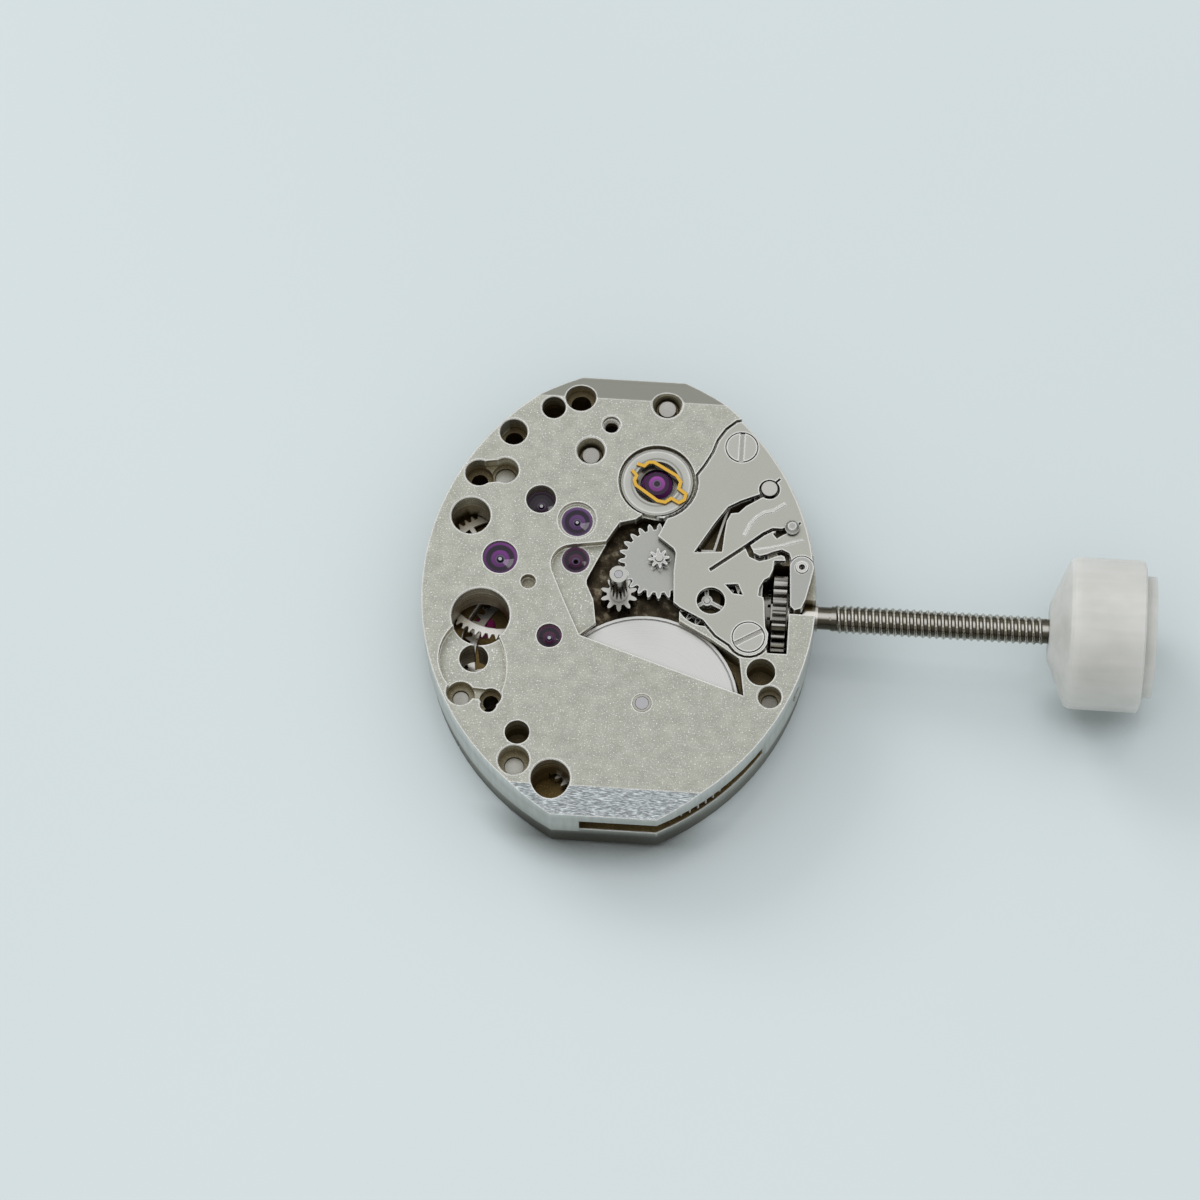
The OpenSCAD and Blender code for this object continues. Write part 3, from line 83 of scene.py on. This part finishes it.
def make_camera():
    back = Vector((math.sin(AZIMUTH) * math.cos(ELEVATION), -math.cos(AZIMUTH) * math.cos(ELEVATION),
                   math.sin(ELEVATION)))
    right = Vector((math.cos(AZIMUTH), math.sin(AZIMUTH), 0))
    up = back.cross(right)
    c, s = math.cos(ROLL), math.sin(ROLL)
    right, up = c * right + s * up, -s * right + c * up
    place = (right * AIM[0] + up * AIM[1] + back * DISTANCE) * MM
    data = bpy.data.cameras.new("camera")
    data.sensor_width = SENSOR_WIDTH
    data.lens = PIXELS_PER_MM * DISTANCE / FRAME_PIXELS * SENSOR_WIDTH
    data.clip_start, data.clip_end = CLIP_FROM * MM, CLIP_TO * MM
    camera = bpy.data.objects.new("camera", data)
    camera.matrix_world = Matrix((
        (right[0], up[0], back[0], place[0]),
        (right[1], up[1], back[1], place[1]),
        (right[2], up[2], back[2], place[2]),
        (0, 0, 0, 1)))
    bpy.context.scene.collection.objects.link(camera)
    bpy.context.scene.camera = camera


make_camera()


# Materials
def scaled(colour, factor):
    return tuple(factor * c for c in colour)


def set_stops(ramp, stops):
    while len(ramp.elements) < len(stops):
        ramp.elements.new(0.5)
    for element, (at, colour) in zip(ramp.elements, stops):
        element.position = at
        element.color = (*colour, 1)


class Graph:
    # The node graph of one material, around its Principled shader
    def __init__(self, name):
        self.mat = bpy.data.materials.new(name)
        self.mat.use_nodes = True
        self.tree = self.mat.node_tree
        self.shader = self.tree.nodes["Principled BSDF"]
        self.coord = None

    def node(self, kind, inputs=None, **settings):
        n = self.tree.nodes.new(kind)
        for key, value in settings.items():
            setattr(n, key, value)
        for key, value in (inputs or {}).items():
            if isinstance(value, bpy.types.NodeSocket):
                self.tree.links.new(value, n.inputs[key])
            else:
                n.inputs[key].default_value = value
        return n

    def place(self):
        if self.coord is None:
            self.coord = self.node("ShaderNodeTexCoord").outputs["Object"]
        return self.coord

    def noise(self, size, detail=2.0, stretch=EVEN, rough=0.5):
        m = self.node("ShaderNodeMapping", {"Vector": self.place(), "Scale": stretch})
        inputs = {"Vector": m.outputs["Vector"], "Scale": 1 / (size * MM), "Detail": detail, "Roughness": rough}
        return self.node("ShaderNodeTexNoise", inputs).outputs["Fac"]

    def ramp(self, value, stops):
        n = self.node("ShaderNodeValToRGB", {"Fac": value})
        set_stops(n.color_ramp, stops)
        return n.outputs["Color"]

    def math(self, op, a, b=0.0):
        return self.node("ShaderNodeMath", {0: a, 1: b}, operation=op).outputs["Value"]

    def both(self, a, b):
        return self.math("MULTIPLY", a, b)

    def above(self, value, limit):
        return self.math("GREATER_THAN", value, limit)

    def below(self, value, limit):
        return self.math("LESS_THAN", value, limit)

    def span(self, value, low, high, to_low=0.0, to_high=1.0):
        n = self.node("ShaderNodeMapRange", {"Value": value, "From Min": low, "From Max": high,
                                             "To Min": to_low, "To Max": to_high})
        return n.outputs["Result"]

    def band(self, value, rise, fall):
        # 1 between the end of the rise and the start of the fall
        return self.both(self.span(value, *rise), self.span(value, *fall, 1.0, 0.0))

    def mix(self, factor, a, b, blend="MIX"):
        n = self.node("ShaderNodeMix", data_type="RGBA", blend_type=blend)
        for key, value in (("Factor", factor), ("A", a), ("B", b)):
            socket = [s for s in n.inputs if s.name == key and (s.type == "RGBA" or key == "Factor")][0]
            if isinstance(value, bpy.types.NodeSocket):
                self.tree.links.new(value, socket)
            elif key == "Factor":
                socket.default_value = value
            else:
                socket.default_value = (*value, 1)
        return [s for s in n.outputs if s.type == "RGBA"][0]

    def tinted(self, a, b):
        return self.mix(1.0, a, b, "MULTIPLY")

    def rounded(self, radius):
        return self.node("ShaderNodeBevel", {"Radius": radius * MM}, samples=4).outputs["Normal"]

    def normal(self):
        return self.node("ShaderNodeNewGeometry").outputs["Normal"]

    def axis(self, index, socket=None):
        return self.node("ShaderNodeSeparateXYZ", {"Vector": socket or self.place()}).outputs[index]

    def hollow(self, reach):
        # 1 in the open, falling to 0 deep in a hole or a gap
        n = self.node("ShaderNodeAmbientOcclusion", {"Distance": reach * MM}, samples=6)
        return self.span(n.outputs["AO"], 0.15, 0.85)

    def far(self, at):
        # Distance in millimetres from a vertical line
        flat = self.node("ShaderNodeVectorMath", {0: self.place(), 1: (1, 1, 0)}, operation="MULTIPLY")
        d = self.node("ShaderNodeVectorMath", {0: flat.outputs[0], 1: (at[0] * MM, at[1] * MM, 0)},
                      operation="DISTANCE")
        return self.both(d.outputs["Value"], 1 / MM)

    def facing(self, way, low, high, to_high):
        # Rises from 0 to to_high on the faces that look this way
        dot = self.node("ShaderNodeVectorMath", {0: self.normal(), 1: way}, operation="DOT_PRODUCT")
        return self.span(dot.outputs["Value"], low, high, 0.0, to_high)

    def edges(self, lowest):
        # Painted highlight on sharp edge lines above a height, at its full weight
        dot = self.node("ShaderNodeVectorMath", {0: self.rounded(HIGHLIGHT_WIDTH), 1: self.normal()},
                        operation="DOT_PRODUCT")
        sharp = self.span(dot.outputs["Value"], 0.998, 0.94)
        return self.both(self.both(sharp, self.above(self.axis(Z), lowest * MM)), HIGHLIGHT_WEIGHT)

    def bump(self, height, depth_um, normal=None):
        inputs = {"Height": height, "Distance": depth_um * 1e-6}
        if normal is not None:
            inputs["Normal"] = normal
        return self.node("ShaderNodeBump", inputs).outputs["Normal"]

    def link(self, socket, key):
        self.tree.links.new(socket, self.shader.inputs[key])

    def set(self, **values):
        for key, value in values.items():
            self.shader.inputs[key.replace("_", " ")].default_value = value


def frost(g, grain, streak, light, dark):
    # The frosted face: grain, streaks and blotches, with bright and dark specks
    blotch = g.noise(0.45, 3.0, rough=0.6)
    speck = g.noise(0.045, 1.0)
    base = g.ramp(grain, [(0.30, dark), (0.64, light)])
    base = g.mix(g.span(streak, 0.40, 0.62, 0.0, 0.60), base, scaled(light, 0.74))
    base = g.mix(g.span(blotch, 0.38, 0.68, 0.0, 0.45), base, scaled(light, 1.20))
    base = g.mix(g.both(g.above(speck, 0.67), 0.75), base, (0.93, 0.93, 0.90))
    return g.mix(g.span(speck, 0.36, 0.28, 0.0, 0.5), base, (0.20, 0.20, 0.17))


def painted_slope_light(g, base, light, up):
    # Painted light on the sloping ends: the lower end glitters in streaks of painted glints, the upper one is
    # duller with painted shade
    glint_streaks = g.noise(0.020, 2.0, (0.11, 1, 1), 0.6)
    slope_glints = g.ramp(glint_streaks, [(0.36, (0.20, 0.22, 0.22)), (0.5, (0.34, 0.37, 0.38)), (0.64, (0.78, 0.84, 0.87))])
    y, z = g.axis(Y), g.axis(Z)
    sunk = g.below(z, UNDER_FACE * MM)
    tilted = g.both(g.above(up, 0.6), g.below(up, 0.985))
    low = g.both(g.both(g.below(y, -SLOPE_Y * MM), sunk), tilted)
    high = g.both(g.both(g.above(y, SLOPE_Y * MM), sunk), tilted)
    return g.mix(high, g.mix(low, base, slope_glints), scaled(light, 0.84))


def rim_mask(g):
    # 1 on the outer wall of the plate and the bridges
    arcs = g.math("MAXIMUM", g.far((RIM_CENTRE, 0)), g.far((-RIM_CENTRE, 0)))
    ends = g.math("ABSOLUTE", g.both(g.axis(Y), 1 / MM))
    return g.math("MAXIMUM", g.above(arcs, RIM_R - RIM_SKIN), g.above(ends, RIM_END - RIM_SKIN))


def outer_wall(g):
    # Turned bright, with faint vertical streaks; painted shade makes it darker towards the back, and a painted
    # highlight brightens it near the face
    y, z = g.axis(Y), g.axis(Z)
    streaks = g.noise(0.16, 3.0, (1, 1, 0.10))
    wall = g.ramp(streaks, [(0.30, (0.545, 0.565, 0.55)), (0.70, (0.63, 0.66, 0.64))])
    # Painted shade towards the back, painted highlight near the face
    fall = g.ramp(g.span(z, BACK_Z * MM, -0.2 * MM),
                  [(0.0, (0.16, 0.15, 0.11)), (0.18, (0.30, 0.29, 0.25)), (0.40, (0.80, 0.80, 0.76)),
                   (0.62, (0.92, 0.92, 0.90)), (0.80, (0.86, 0.86, 0.83)), (1.0, (1.12, 1.12, 1.12))])
    # Painted shade: the bridges' wall is nearly black under the low end
    under = g.both(g.span(y, -7.55 * MM, -6.2 * MM, 0.85, 0.0),
                   g.span(z, -2.35 * MM, BRIDGE_TOP_Z * MM, 1.0, 0.0))
    return g.mix(under, g.tinted(wall, fall), (0.06, 0.055, 0.04))


def painted_depth_shade(g, deep, steep):
    # Painted shade: what lies far below the face is brown and dark
    z = g.axis(Z)
    depth = g.ramp(g.span(z, -1.0 * MM, -0.30 * MM),
                   [(0.0, deep), (0.30, scaled(deep, 1.2)), (0.55, (0.76, 0.70, 0.60)), (1.0, WHITE)])
    # Painted shade and glints: the window's floor and walls are the darkest, mottled with painted glints
    in_window = g.both(g.span(g.far(WINDOW_AT), *WINDOW_RADII), g.below(z, WINDOW_Z * MM))
    glint_mottle = g.noise(0.42, 3.0, rough=0.6)
    window_shade_and_glints = g.ramp(glint_mottle, [(0.40, (0.07, 0.052, 0.036)), (0.56, (0.17, 0.135, 0.10)), (0.68, (0.60, 0.52, 0.44))])
    depth = g.mix(in_window, depth, window_shade_and_glints)
    # Turning rings on the walls of the holes
    turned = g.noise(0.035, 2.0, (0.02, 0.02, 1))
    rings = g.ramp(turned, [(0.36, (0.62, 0.58, 0.50)), (0.62, (1.7, 1.62, 1.45))])
    return g.mix(steep, depth, g.tinted(depth, rings))


def plate(name, light, dark, highlight_from, deep, lowest_up):
    g = Graph(name)
    grain = g.noise(0.05, 3.0, rough=0.65)
    streak = g.noise(0.05, 3.0, (0.09, 1, 1), 0.6)
    up = g.axis(Z, g.normal())
    steep = g.below(g.math("ABSOLUTE", up), 0.3)
    rim = rim_mask(g)
    base = painted_slope_light(g, frost(g, grain, streak, light, dark), light, up)
    base = g.mix(g.both(rim, steep), base, outer_wall(g))
    inner = g.tinted(base, painted_depth_shade(g, deep, steep))
    # The outer wall has no painted depth shade, and neither have the back's faces, which look down
    plain = g.math("MAXIMUM", rim, g.below(up, lowest_up))
    base = g.mix(plain, inner, base)
    shade = g.ramp(g.hollow(0.7), [(0.0, (0.40, 0.35, 0.27)), (0.34, (0.68, 0.63, 0.54)), (0.70, WHITE)])
    # Painted highlight: sharp edge lines turn pale and less metallic
    edge = g.edges(highlight_from)
    g.link(g.mix(edge, g.tinted(base, shade), (0.96, 0.96, 0.94)), "Base Color")
    g.link(g.math("SUBTRACT", 0.92, edge), "Metallic")
    g.link(g.span(grain, 0.3, 0.7, 0.50, 0.34), "Roughness")
    g.link(g.bump(grain, 2.4, g.bump(streak, 1.2, g.rounded(0.025))), "Normal")
    return g.mat


def satin(name, light, dark, rough=(0.22, 0.32), highlight_from=-0.30, shade_low=(0.06, 0.05, 0.04), shade_mid=0.42):
    # Drawn steel or brass with fine lines
    g = Graph(name)
    lines = g.noise(0.02, 2.0, (1, 12, 1))
    cloud = g.noise(0.7, 3.0)
    base = g.ramp(lines, [(0.3, dark), (0.7, light)])
    base = g.mix(g.span(cloud, 0.35, 0.7, 0.0, 0.35), base, scaled(light, 0.8))
    shade = g.ramp(g.hollow(0.6), [(0.0, shade_low), (shade_mid, (0.42, 0.40, 0.37)), (0.80, WHITE)])
    # Painted highlight: sharp edge lines turn pale and less metallic
    edge = g.edges(highlight_from)
    g.link(g.mix(edge, g.tinted(base, shade), (0.93, 0.93, 0.92)), "Base Color")
    g.link(g.math("SUBTRACT", 1.0, edge), "Metallic")
    g.link(g.span(cloud, 0.3, 0.7, *rough), "Roughness")
    g.link(g.bump(lines, 0.5, g.rounded(0.02)), "Normal")
    return g.mat


def ringed(name, centre):
    # A turned flange with a groove and a polished lip; its dark middle, groove and dark lines are painted shade,
    # its bright lip a painted highlight
    g = Graph(name)
    cloud = g.noise(0.5, 3.0)
    base = g.ramp(g.math("DIVIDE", g.far(centre), SETTING_R), [
        (0.0, (0.10, 0.09, 0.08)), (0.50, (0.13, 0.12, 0.11)), (0.56, (0.43, 0.43, 0.40)),
        (0.64, (0.49, 0.495, 0.46)), (0.70, (0.20, 0.19, 0.17)), (0.725, (0.44, 0.445, 0.41)),
        (0.86, (0.49, 0.495, 0.46)), (0.90, (0.70, 0.70, 0.67)), (0.93, (0.26, 0.25, 0.23)),
        (0.97, (0.52, 0.525, 0.49))])
    base = g.mix(g.span(cloud, 0.35, 0.7, 0.0, 0.5), base, (0.42, 0.42, 0.40))
    shade = g.ramp(g.hollow(0.4), [(0.0, (0.12, 0.10, 0.08)), (0.45, (0.5, 0.48, 0.45)), (0.8, WHITE)])
    g.link(g.tinted(base, shade), "Base Color")
    g.link(g.span(cloud, 0.3, 0.7, 0.30, 0.20), "Roughness")
    g.link(g.bump(cloud, 0.8, g.rounded(0.03)), "Normal")
    g.set(Metallic=0.95)
    return g.mat


def threaded(name):
    # Painted highlight on the crests of the thread and the plain stem, painted shade in the roots
    g = Graph(name)
    y, z = g.axis(Y), g.math("SUBTRACT", g.axis(Z), STEM_Z * MM)
    radius = g.both(g.math("SQRT", g.math("ADD", g.both(y, y), g.both(z, z))), 1 / MM)
    scratch = g.noise(0.03, 2.0, (0.1, 1, 1))
    base = g.ramp(g.span(radius, STEM_THREAD["core"], 0.45),
                  [(0.0, (0.085, 0.075, 0.055)), (0.35, (0.12, 0.11, 0.085)), (0.80, (0.42, 0.40, 0.34)),
                   (1.0, (0.58, 0.56, 0.50))])
    base = g.mix(g.span(scratch, 0.4, 0.7, 0.0, 0.4), base, (0.22, 0.21, 0.18))
    # Painted reflection: a dark band along the side and a bright line above it
    base = g.mix(g.facing((0, -0.80, 0.60), 0.80, 0.97, 0.80), base, (0.045, 0.040, 0.030))
    base = g.mix(g.facing((0, -0.16, 0.987), 0.95, 0.995, 0.55), base, (0.90, 0.88, 0.83))
    g.link(base, "Base Color")
    g.link(g.span(scratch, 0.3, 0.7, 0.12, 0.22), "Roughness")
    g.link(g.bump(scratch, 0.4), "Normal")
    g.set(Metallic=1.0)
    return g.mat


def brushed_round(name, light, dark, centre):
    # Brushed in circles about a centre
    g = Graph(name)
    cloud = g.noise(0.6, 3.0)
    wobble = g.math("ADD", g.far(centre), g.both(cloud, 0.05))
    lines = g.node("ShaderNodeTexNoise", {"W": g.both(wobble, 14.0), "Detail": 3.0},
                   noise_dimensions="1D").outputs["Fac"]
    base = g.ramp(lines, [(0.34, dark), (0.64, light)])
    base = g.mix(g.span(cloud, 0.35, 0.7, 0.0, 0.4), base, scaled(light, 0.86))
    shade = g.ramp(g.hollow(0.35), [(0.0, (0.10, 0.08, 0.07)), (0.5, (0.55, 0.53, 0.52)), (0.8, WHITE)])
    g.link(g.tinted(base, shade), "Base Color")
    g.link(g.span(lines, 0.3, 0.7, 0.42, 0.30), "Roughness")
    g.link(g.bump(lines, 0.8, g.rounded(0.02)), "Normal")
    g.set(Metallic=0.95)
    return g.mat


def ruby(name, body, deep, edge, jewels=()):
    # Rings about each hole: dark hole, pale cup, toned ring, deep body, a second toned ring and a pale rim; the
    # pale cup and the pale rim are painted highlights
    g = Graph(name)
    cloud = g.noise(0.3, 1.0)
    base = g.ramp(cloud, [(0.3, deep), (0.7, body)])
    for at, r, tone in jewels:
        # Painted light: the upper half of each jewel is lighter, the lower half darker
        painted_lit_half = g.span(g.axis(Y), (at[1] - 0.8 * r) * MM, (at[1] + 0.8 * r) * MM)
        tone = g.mix(painted_lit_half, scaled(tone, 0.55), scaled(tone, 1.9))
        ratio = g.math("DIVIDE", g.far(at), r)
        rings = g.ramp(ratio, [(0.0, (0.02, 0.01, 0.02)), (0.18, (0.02, 0.01, 0.03)), (0.25, edge),
                               (0.33, deep), (0.90, deep), (0.97, edge)])
        inner = g.band(ratio, (0.28, 0.34), (0.50, 0.56))
        outer = g.band(ratio, (0.78, 0.88), (0.93, 0.98))
        rings = g.mix(g.math("MAXIMUM", inner, outer), rings, tone)
        base = g.mix(g.below(ratio, 1.05), base, rings)
    g.link(base, "Base Color")
    g.link(g.span(cloud, 0.3, 0.7, 0.06, 0.12), "Roughness")
    g.set(Transmission_Weight=0.1, IOR=1.76, Specular_IOR_Level=0.16)
    return g.mat


def plastic(name):
    # The knob: white, a little translucent, with faint streaks
    g = Graph(name)
    cloud = g.noise(1.4, 3.0)
    fine = g.noise(0.12, 2.0)
    streak = g.noise(0.5, 2.0, (0.12, 1, 1))
    base = g.ramp(cloud, [(0.3, (0.55, 0.555, 0.525)), (0.7, (0.625, 0.63, 0.605))])
    g.link(g.mix(g.span(streak, 0.45, 0.65, 0.0, 0.35), base, (0.70, 0.69, 0.69)), "Base Color")
    g.link(g.span(fine, 0.3, 0.7, 0.32, 0.45), "Roughness")
    g.link(g.bump(fine, 1.5, g.rounded(0.06)), "Normal")
    g.set(Subsurface_Weight=0.7, Subsurface_Radius=(1.0, 1.0, 0.95), Subsurface_Scale=0.0012, IOR=1.49)
    return g.mat


# Each name has its maker and what the maker is told
LOOKS = {
    "plate_nickel": (plate, dict(light=(0.436, 0.443, 0.393), dark=(0.305, 0.310, 0.268), highlight_from=-0.42,
                                 deep=(0.42, 0.355, 0.265), lowest_up=-0.3)),
    "bridge_nickel": (plate, dict(light=(0.50, 0.51, 0.47), dark=(0.38, 0.39, 0.35), highlight_from=-2.1,
                                  deep=(0.44, 0.31, 0.14), lowest_up=0.3)),
    "cover_steel": (satin, dict(light=(0.475, 0.48, 0.435), dark=(0.38, 0.385, 0.345))),
    "keyless_steel": (satin, dict(light=(0.455, 0.462, 0.435), dark=(0.325, 0.332, 0.312), rough=(0.18, 0.28),
                                  highlight_from=-0.66)),
    "bright_steel": (satin, dict(light=(0.58, 0.575, 0.55), dark=(0.44, 0.435, 0.41), rough=(0.12, 0.2),
                                 highlight_from=NO_HIGHLIGHT)),
    "stem_steel": (threaded, {}),
    "setting_steel": (ringed, dict(centre=BALANCE_AT)),
    "screw_steel": (satin, dict(light=(0.52, 0.52, 0.48), dark=(0.40, 0.40, 0.37), rough=(0.2, 0.3))),
    "train_brass": (satin, dict(light=(0.62, 0.53, 0.34), dark=(0.46, 0.38, 0.22), rough=(0.2, 0.3),
                                highlight_from=NO_HIGHLIGHT)),
    "train_nickel": (satin, dict(light=(0.78, 0.77, 0.73), dark=(0.64, 0.63, 0.60), rough=(0.25, 0.35),
                                 highlight_from=NO_HIGHLIGHT, shade_low=(0.42, 0.39, 0.34), shade_mid=0.25)),
    "pinion_steel": (satin, dict(light=(0.50, 0.50, 0.52), dark=(0.36, 0.36, 0.38), rough=(0.12, 0.2),
                                 highlight_from=NO_HIGHLIGHT)),
    "drum_metal": (brushed_round, dict(light=(0.655, 0.66, 0.645), dark=(0.52, 0.52, 0.505), centre=BARREL_AT)),
    "spring_steel": (satin, dict(light=(0.42, 0.46, 0.52), dark=(0.30, 0.33, 0.40), rough=(0.14, 0.22),
                                 highlight_from=NO_HIGHLIGHT)),
    "ruby_dark": (ruby, dict(body=(0.08, 0.020, 0.11), deep=(0.016, 0.008, 0.022), edge=(0.15, 0.10, 0.20),
                             jewels=PLATE_JEWELS)),
    "ruby_pink": (ruby, dict(body=(0.50, 0.04, 0.22), deep=(0.28, 0.02, 0.12), edge=(0.6, 0.3, 0.4))),
    "ruby_cap": (ruby, dict(body=(0.12, 0.020, 0.13), deep=(0.028, 0.005, 0.035), edge=(0.20, 0.13, 0.24),
                            jewels=CAP_JEWELS)),
    "gilt_spring": (satin, dict(light=(0.80, 0.50, 0.09), dark=(0.60, 0.34, 0.05), rough=(0.15, 0.25),
                                highlight_from=NO_HIGHLIGHT)),
    "hair_blue": (satin, dict(light=(0.20, 0.26, 0.45), dark=(0.12, 0.16, 0.32), rough=(0.15, 0.25),
                              highlight_from=NO_HIGHLIGHT)),
    "bush_brass": (satin, dict(light=(0.46, 0.45, 0.40), dark=(0.34, 0.33, 0.29), highlight_from=NO_HIGHLIGHT)),
    "knob_plastic": (plastic, {}),
}
M = {name: make(name, **told) for name, (make, told) in LOOKS.items()}

# Each node wears its slot in the record, apart from four that have a look of their own
SLOTS = {part["node"]: part["material_slot"] for part in frame["record"]["subparts"]}
SLOTS["third_wheel"] = SLOTS["fourth_wheel"] = "train_nickel"
SLOTS["winding_stem"] = "stem_steel"
SLOTS["dial_shock_setting"] = "setting_steel"
for name, obj in NODES.items():
    obj.data.materials.clear()
    obj.data.materials.append(M[SLOTS[name]])


# Threads: a ridge that winds along an axis, closed at the bottom and at both ends
def ridge(core, crest, pitch):
    # Section of the ridge: shift along the axis, radius where it fades out, full radius
    root = core - math.copysign(ROOT_DEPTH, crest - core)
    foot, top = FOOT_HALF * pitch, CREST_HALF * pitch
    return [(-foot, core, core), (-top, core, crest), (top, core, crest),
            (foot, core, core), (foot, root, root), (-foot, root, root)]


def make_thread(name, slot, body, start, along, side, length, core, crest, pitch):
    bm = bmesh.new()
    start, along, side = Vector(start), Vector(along), Vector(side)
    other = along.cross(side)
    profile = ridge(core, crest, pitch)
    count = int(length / pitch * STEPS_PER_TURN)
    rows = []
    for i in range(count + 1):
        turns = i / STEPS_PER_TURN
        angle = 2 * math.pi * i / STEPS_PER_TURN
        out = math.cos(angle) * side + math.sin(angle) * other
        # The ridge grows over its first turn and fades over its last
        fade = min(1.0, turns, (count - i) / STEPS_PER_TURN)
        rows.append([bm.verts.new((start + along * (pitch * i / STEPS_PER_TURN + shift)
                                   + out * (low + (full - low) * fade)) * MM)
                     for shift, low, full in profile])
    n = len(profile)
    for a, b in zip(rows, rows[1:]):
        for k in range(n):
            bm.faces.new((a[k], a[(k + 1) % n], b[(k + 1) % n], b[k]))
    bm.faces.new(rows[0][::-1])
    bm.faces.new(rows[-1])
    bmesh.ops.recalc_face_normals(bm, faces=bm.faces)
    mesh = bpy.data.meshes.new(name)
    bm.to_mesh(mesh)
    bm.free()
    mesh.materials.append(M[slot])
    obj = bpy.data.objects.new(name, mesh)
    bpy.context.scene.collection.objects.link(obj)
    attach(obj, body)


make_thread("stem_thread", "stem_steel", "stem", **STEM_THREAD)
make_thread("hole_thread", "plate_nickel", "movement", **HOLE_THREAD)


# Floor, tilted so that the knob and the movement's far edge rest on it
def make_floor():
    gap, half_size = 0.005, 400
    edge_low, side = Vector(EDGE_LOW), Vector((0, 1, 0))
    along = (Vector(KNOB_LOW) - edge_low).normalized()
    normal = along.cross(side).normalized()
    centre = edge_low - normal * gap
    bm = bmesh.new()
    bm.faces.new([bm.verts.new((centre + along * x * half_size + side * y * half_size) * MM)
                  for x, y in ((-1, -1), (1, -1), (1, 1), (-1, 1))])
    mesh = bpy.data.meshes.new("floor")
    bm.to_mesh(mesh)
    bm.free()
    obj = bpy.data.objects.new("floor", mesh)
    bpy.context.scene.collection.objects.link(obj)
    g = Graph("floor")
    base = g.ramp(g.noise(60, 2.0), [(0.35, (0.618, 0.690, 0.712)), (0.65, (0.652, 0.724, 0.746))])
    # A deeper shadow where the object nearly touches, under its low end and under the knob
    contact = g.ramp(g.hollow(1.6), [(0.0, (0.10, 0.10, 0.08)), (0.45, (0.14, 0.14, 0.12)),
                                     (0.85, (0.85, 0.85, 0.85)), (1.0, WHITE)])
    low_end = g.span(g.axis(Y), -6.4 * MM, -7.4 * MM)
    knob_end = g.both(g.span(g.axis(X), 13.4 * MM, 14.2 * MM), g.span(g.axis(Y), -1.0 * MM, -2.0 * MM, 0.0, 0.55))
    shadow = g.mix(g.math("MAXIMUM", low_end, knob_end), WHITE, contact)
    g.link(g.tinted(base, shadow), "Base Color")
    g.set(Roughness=0.12, Specular_IOR_Level=0.4)
    mesh.materials.append(g.mat)


make_floor()


# Light: a pale room, brighter overhead, and one soft box
def make_room():
    world = bpy.data.worlds.new("world")
    bpy.context.scene.world = world
    world.use_nodes = True
    tree = world.node_tree
    background = tree.nodes["Background"]
    coord = tree.nodes.new("ShaderNodeTexCoord")
    split = tree.nodes.new("ShaderNodeSeparateXYZ")
    tree.links.new(coord.outputs["Generated"], split.inputs["Vector"])
    room = tree.nodes.new("ShaderNodeValToRGB")
    tree.links.new(split.outputs["Z"], room.inputs["Fac"])
    set_stops(room.color_ramp, [(0.0, (0.20, 0.18, 0.15)), (0.12, (0.34, 0.32, 0.29)), (0.34, (0.62, 0.62, 0.61)),
                                (0.72, (0.97, 0.98, 0.98)), (1.0, WHITE)])
    # The camera sees a pale wall in place of the room
    path = tree.nodes.new("ShaderNodeLightPath")
    seen = tree.nodes.new("ShaderNodeMix")
    seen.data_type = "RGBA"
    room_in, wall_in = [socket for socket in seen.inputs if socket.type == "RGBA"]
    tree.links.new(path.outputs["Is Camera Ray"], seen.inputs[0])
    tree.links.new(room.outputs["Color"], room_in)
    wall_in.default_value = (0.62, 0.69, 0.71, 1)
    tree.links.new([socket for socket in seen.outputs if socket.type == "RGBA"][0], background.inputs["Color"])
    background.inputs["Strength"].default_value = 1.0


def make_soft_box():
    place, size, power = Vector((-240, 260, 260)), 200, 0.55
    data = bpy.data.lights.new("key", "AREA")
    data.shape = "SQUARE"
    data.size = size * MM
    data.energy = power
    obj = bpy.data.objects.new("key", data)
    obj.location = place * MM
    obj.rotation_euler = (-place).to_track_quat("-Z", "Y").to_euler()
    bpy.context.scene.collection.objects.link(obj)


make_room()
make_soft_box()

bpy.context.scene.view_settings.view_transform = "Standard"
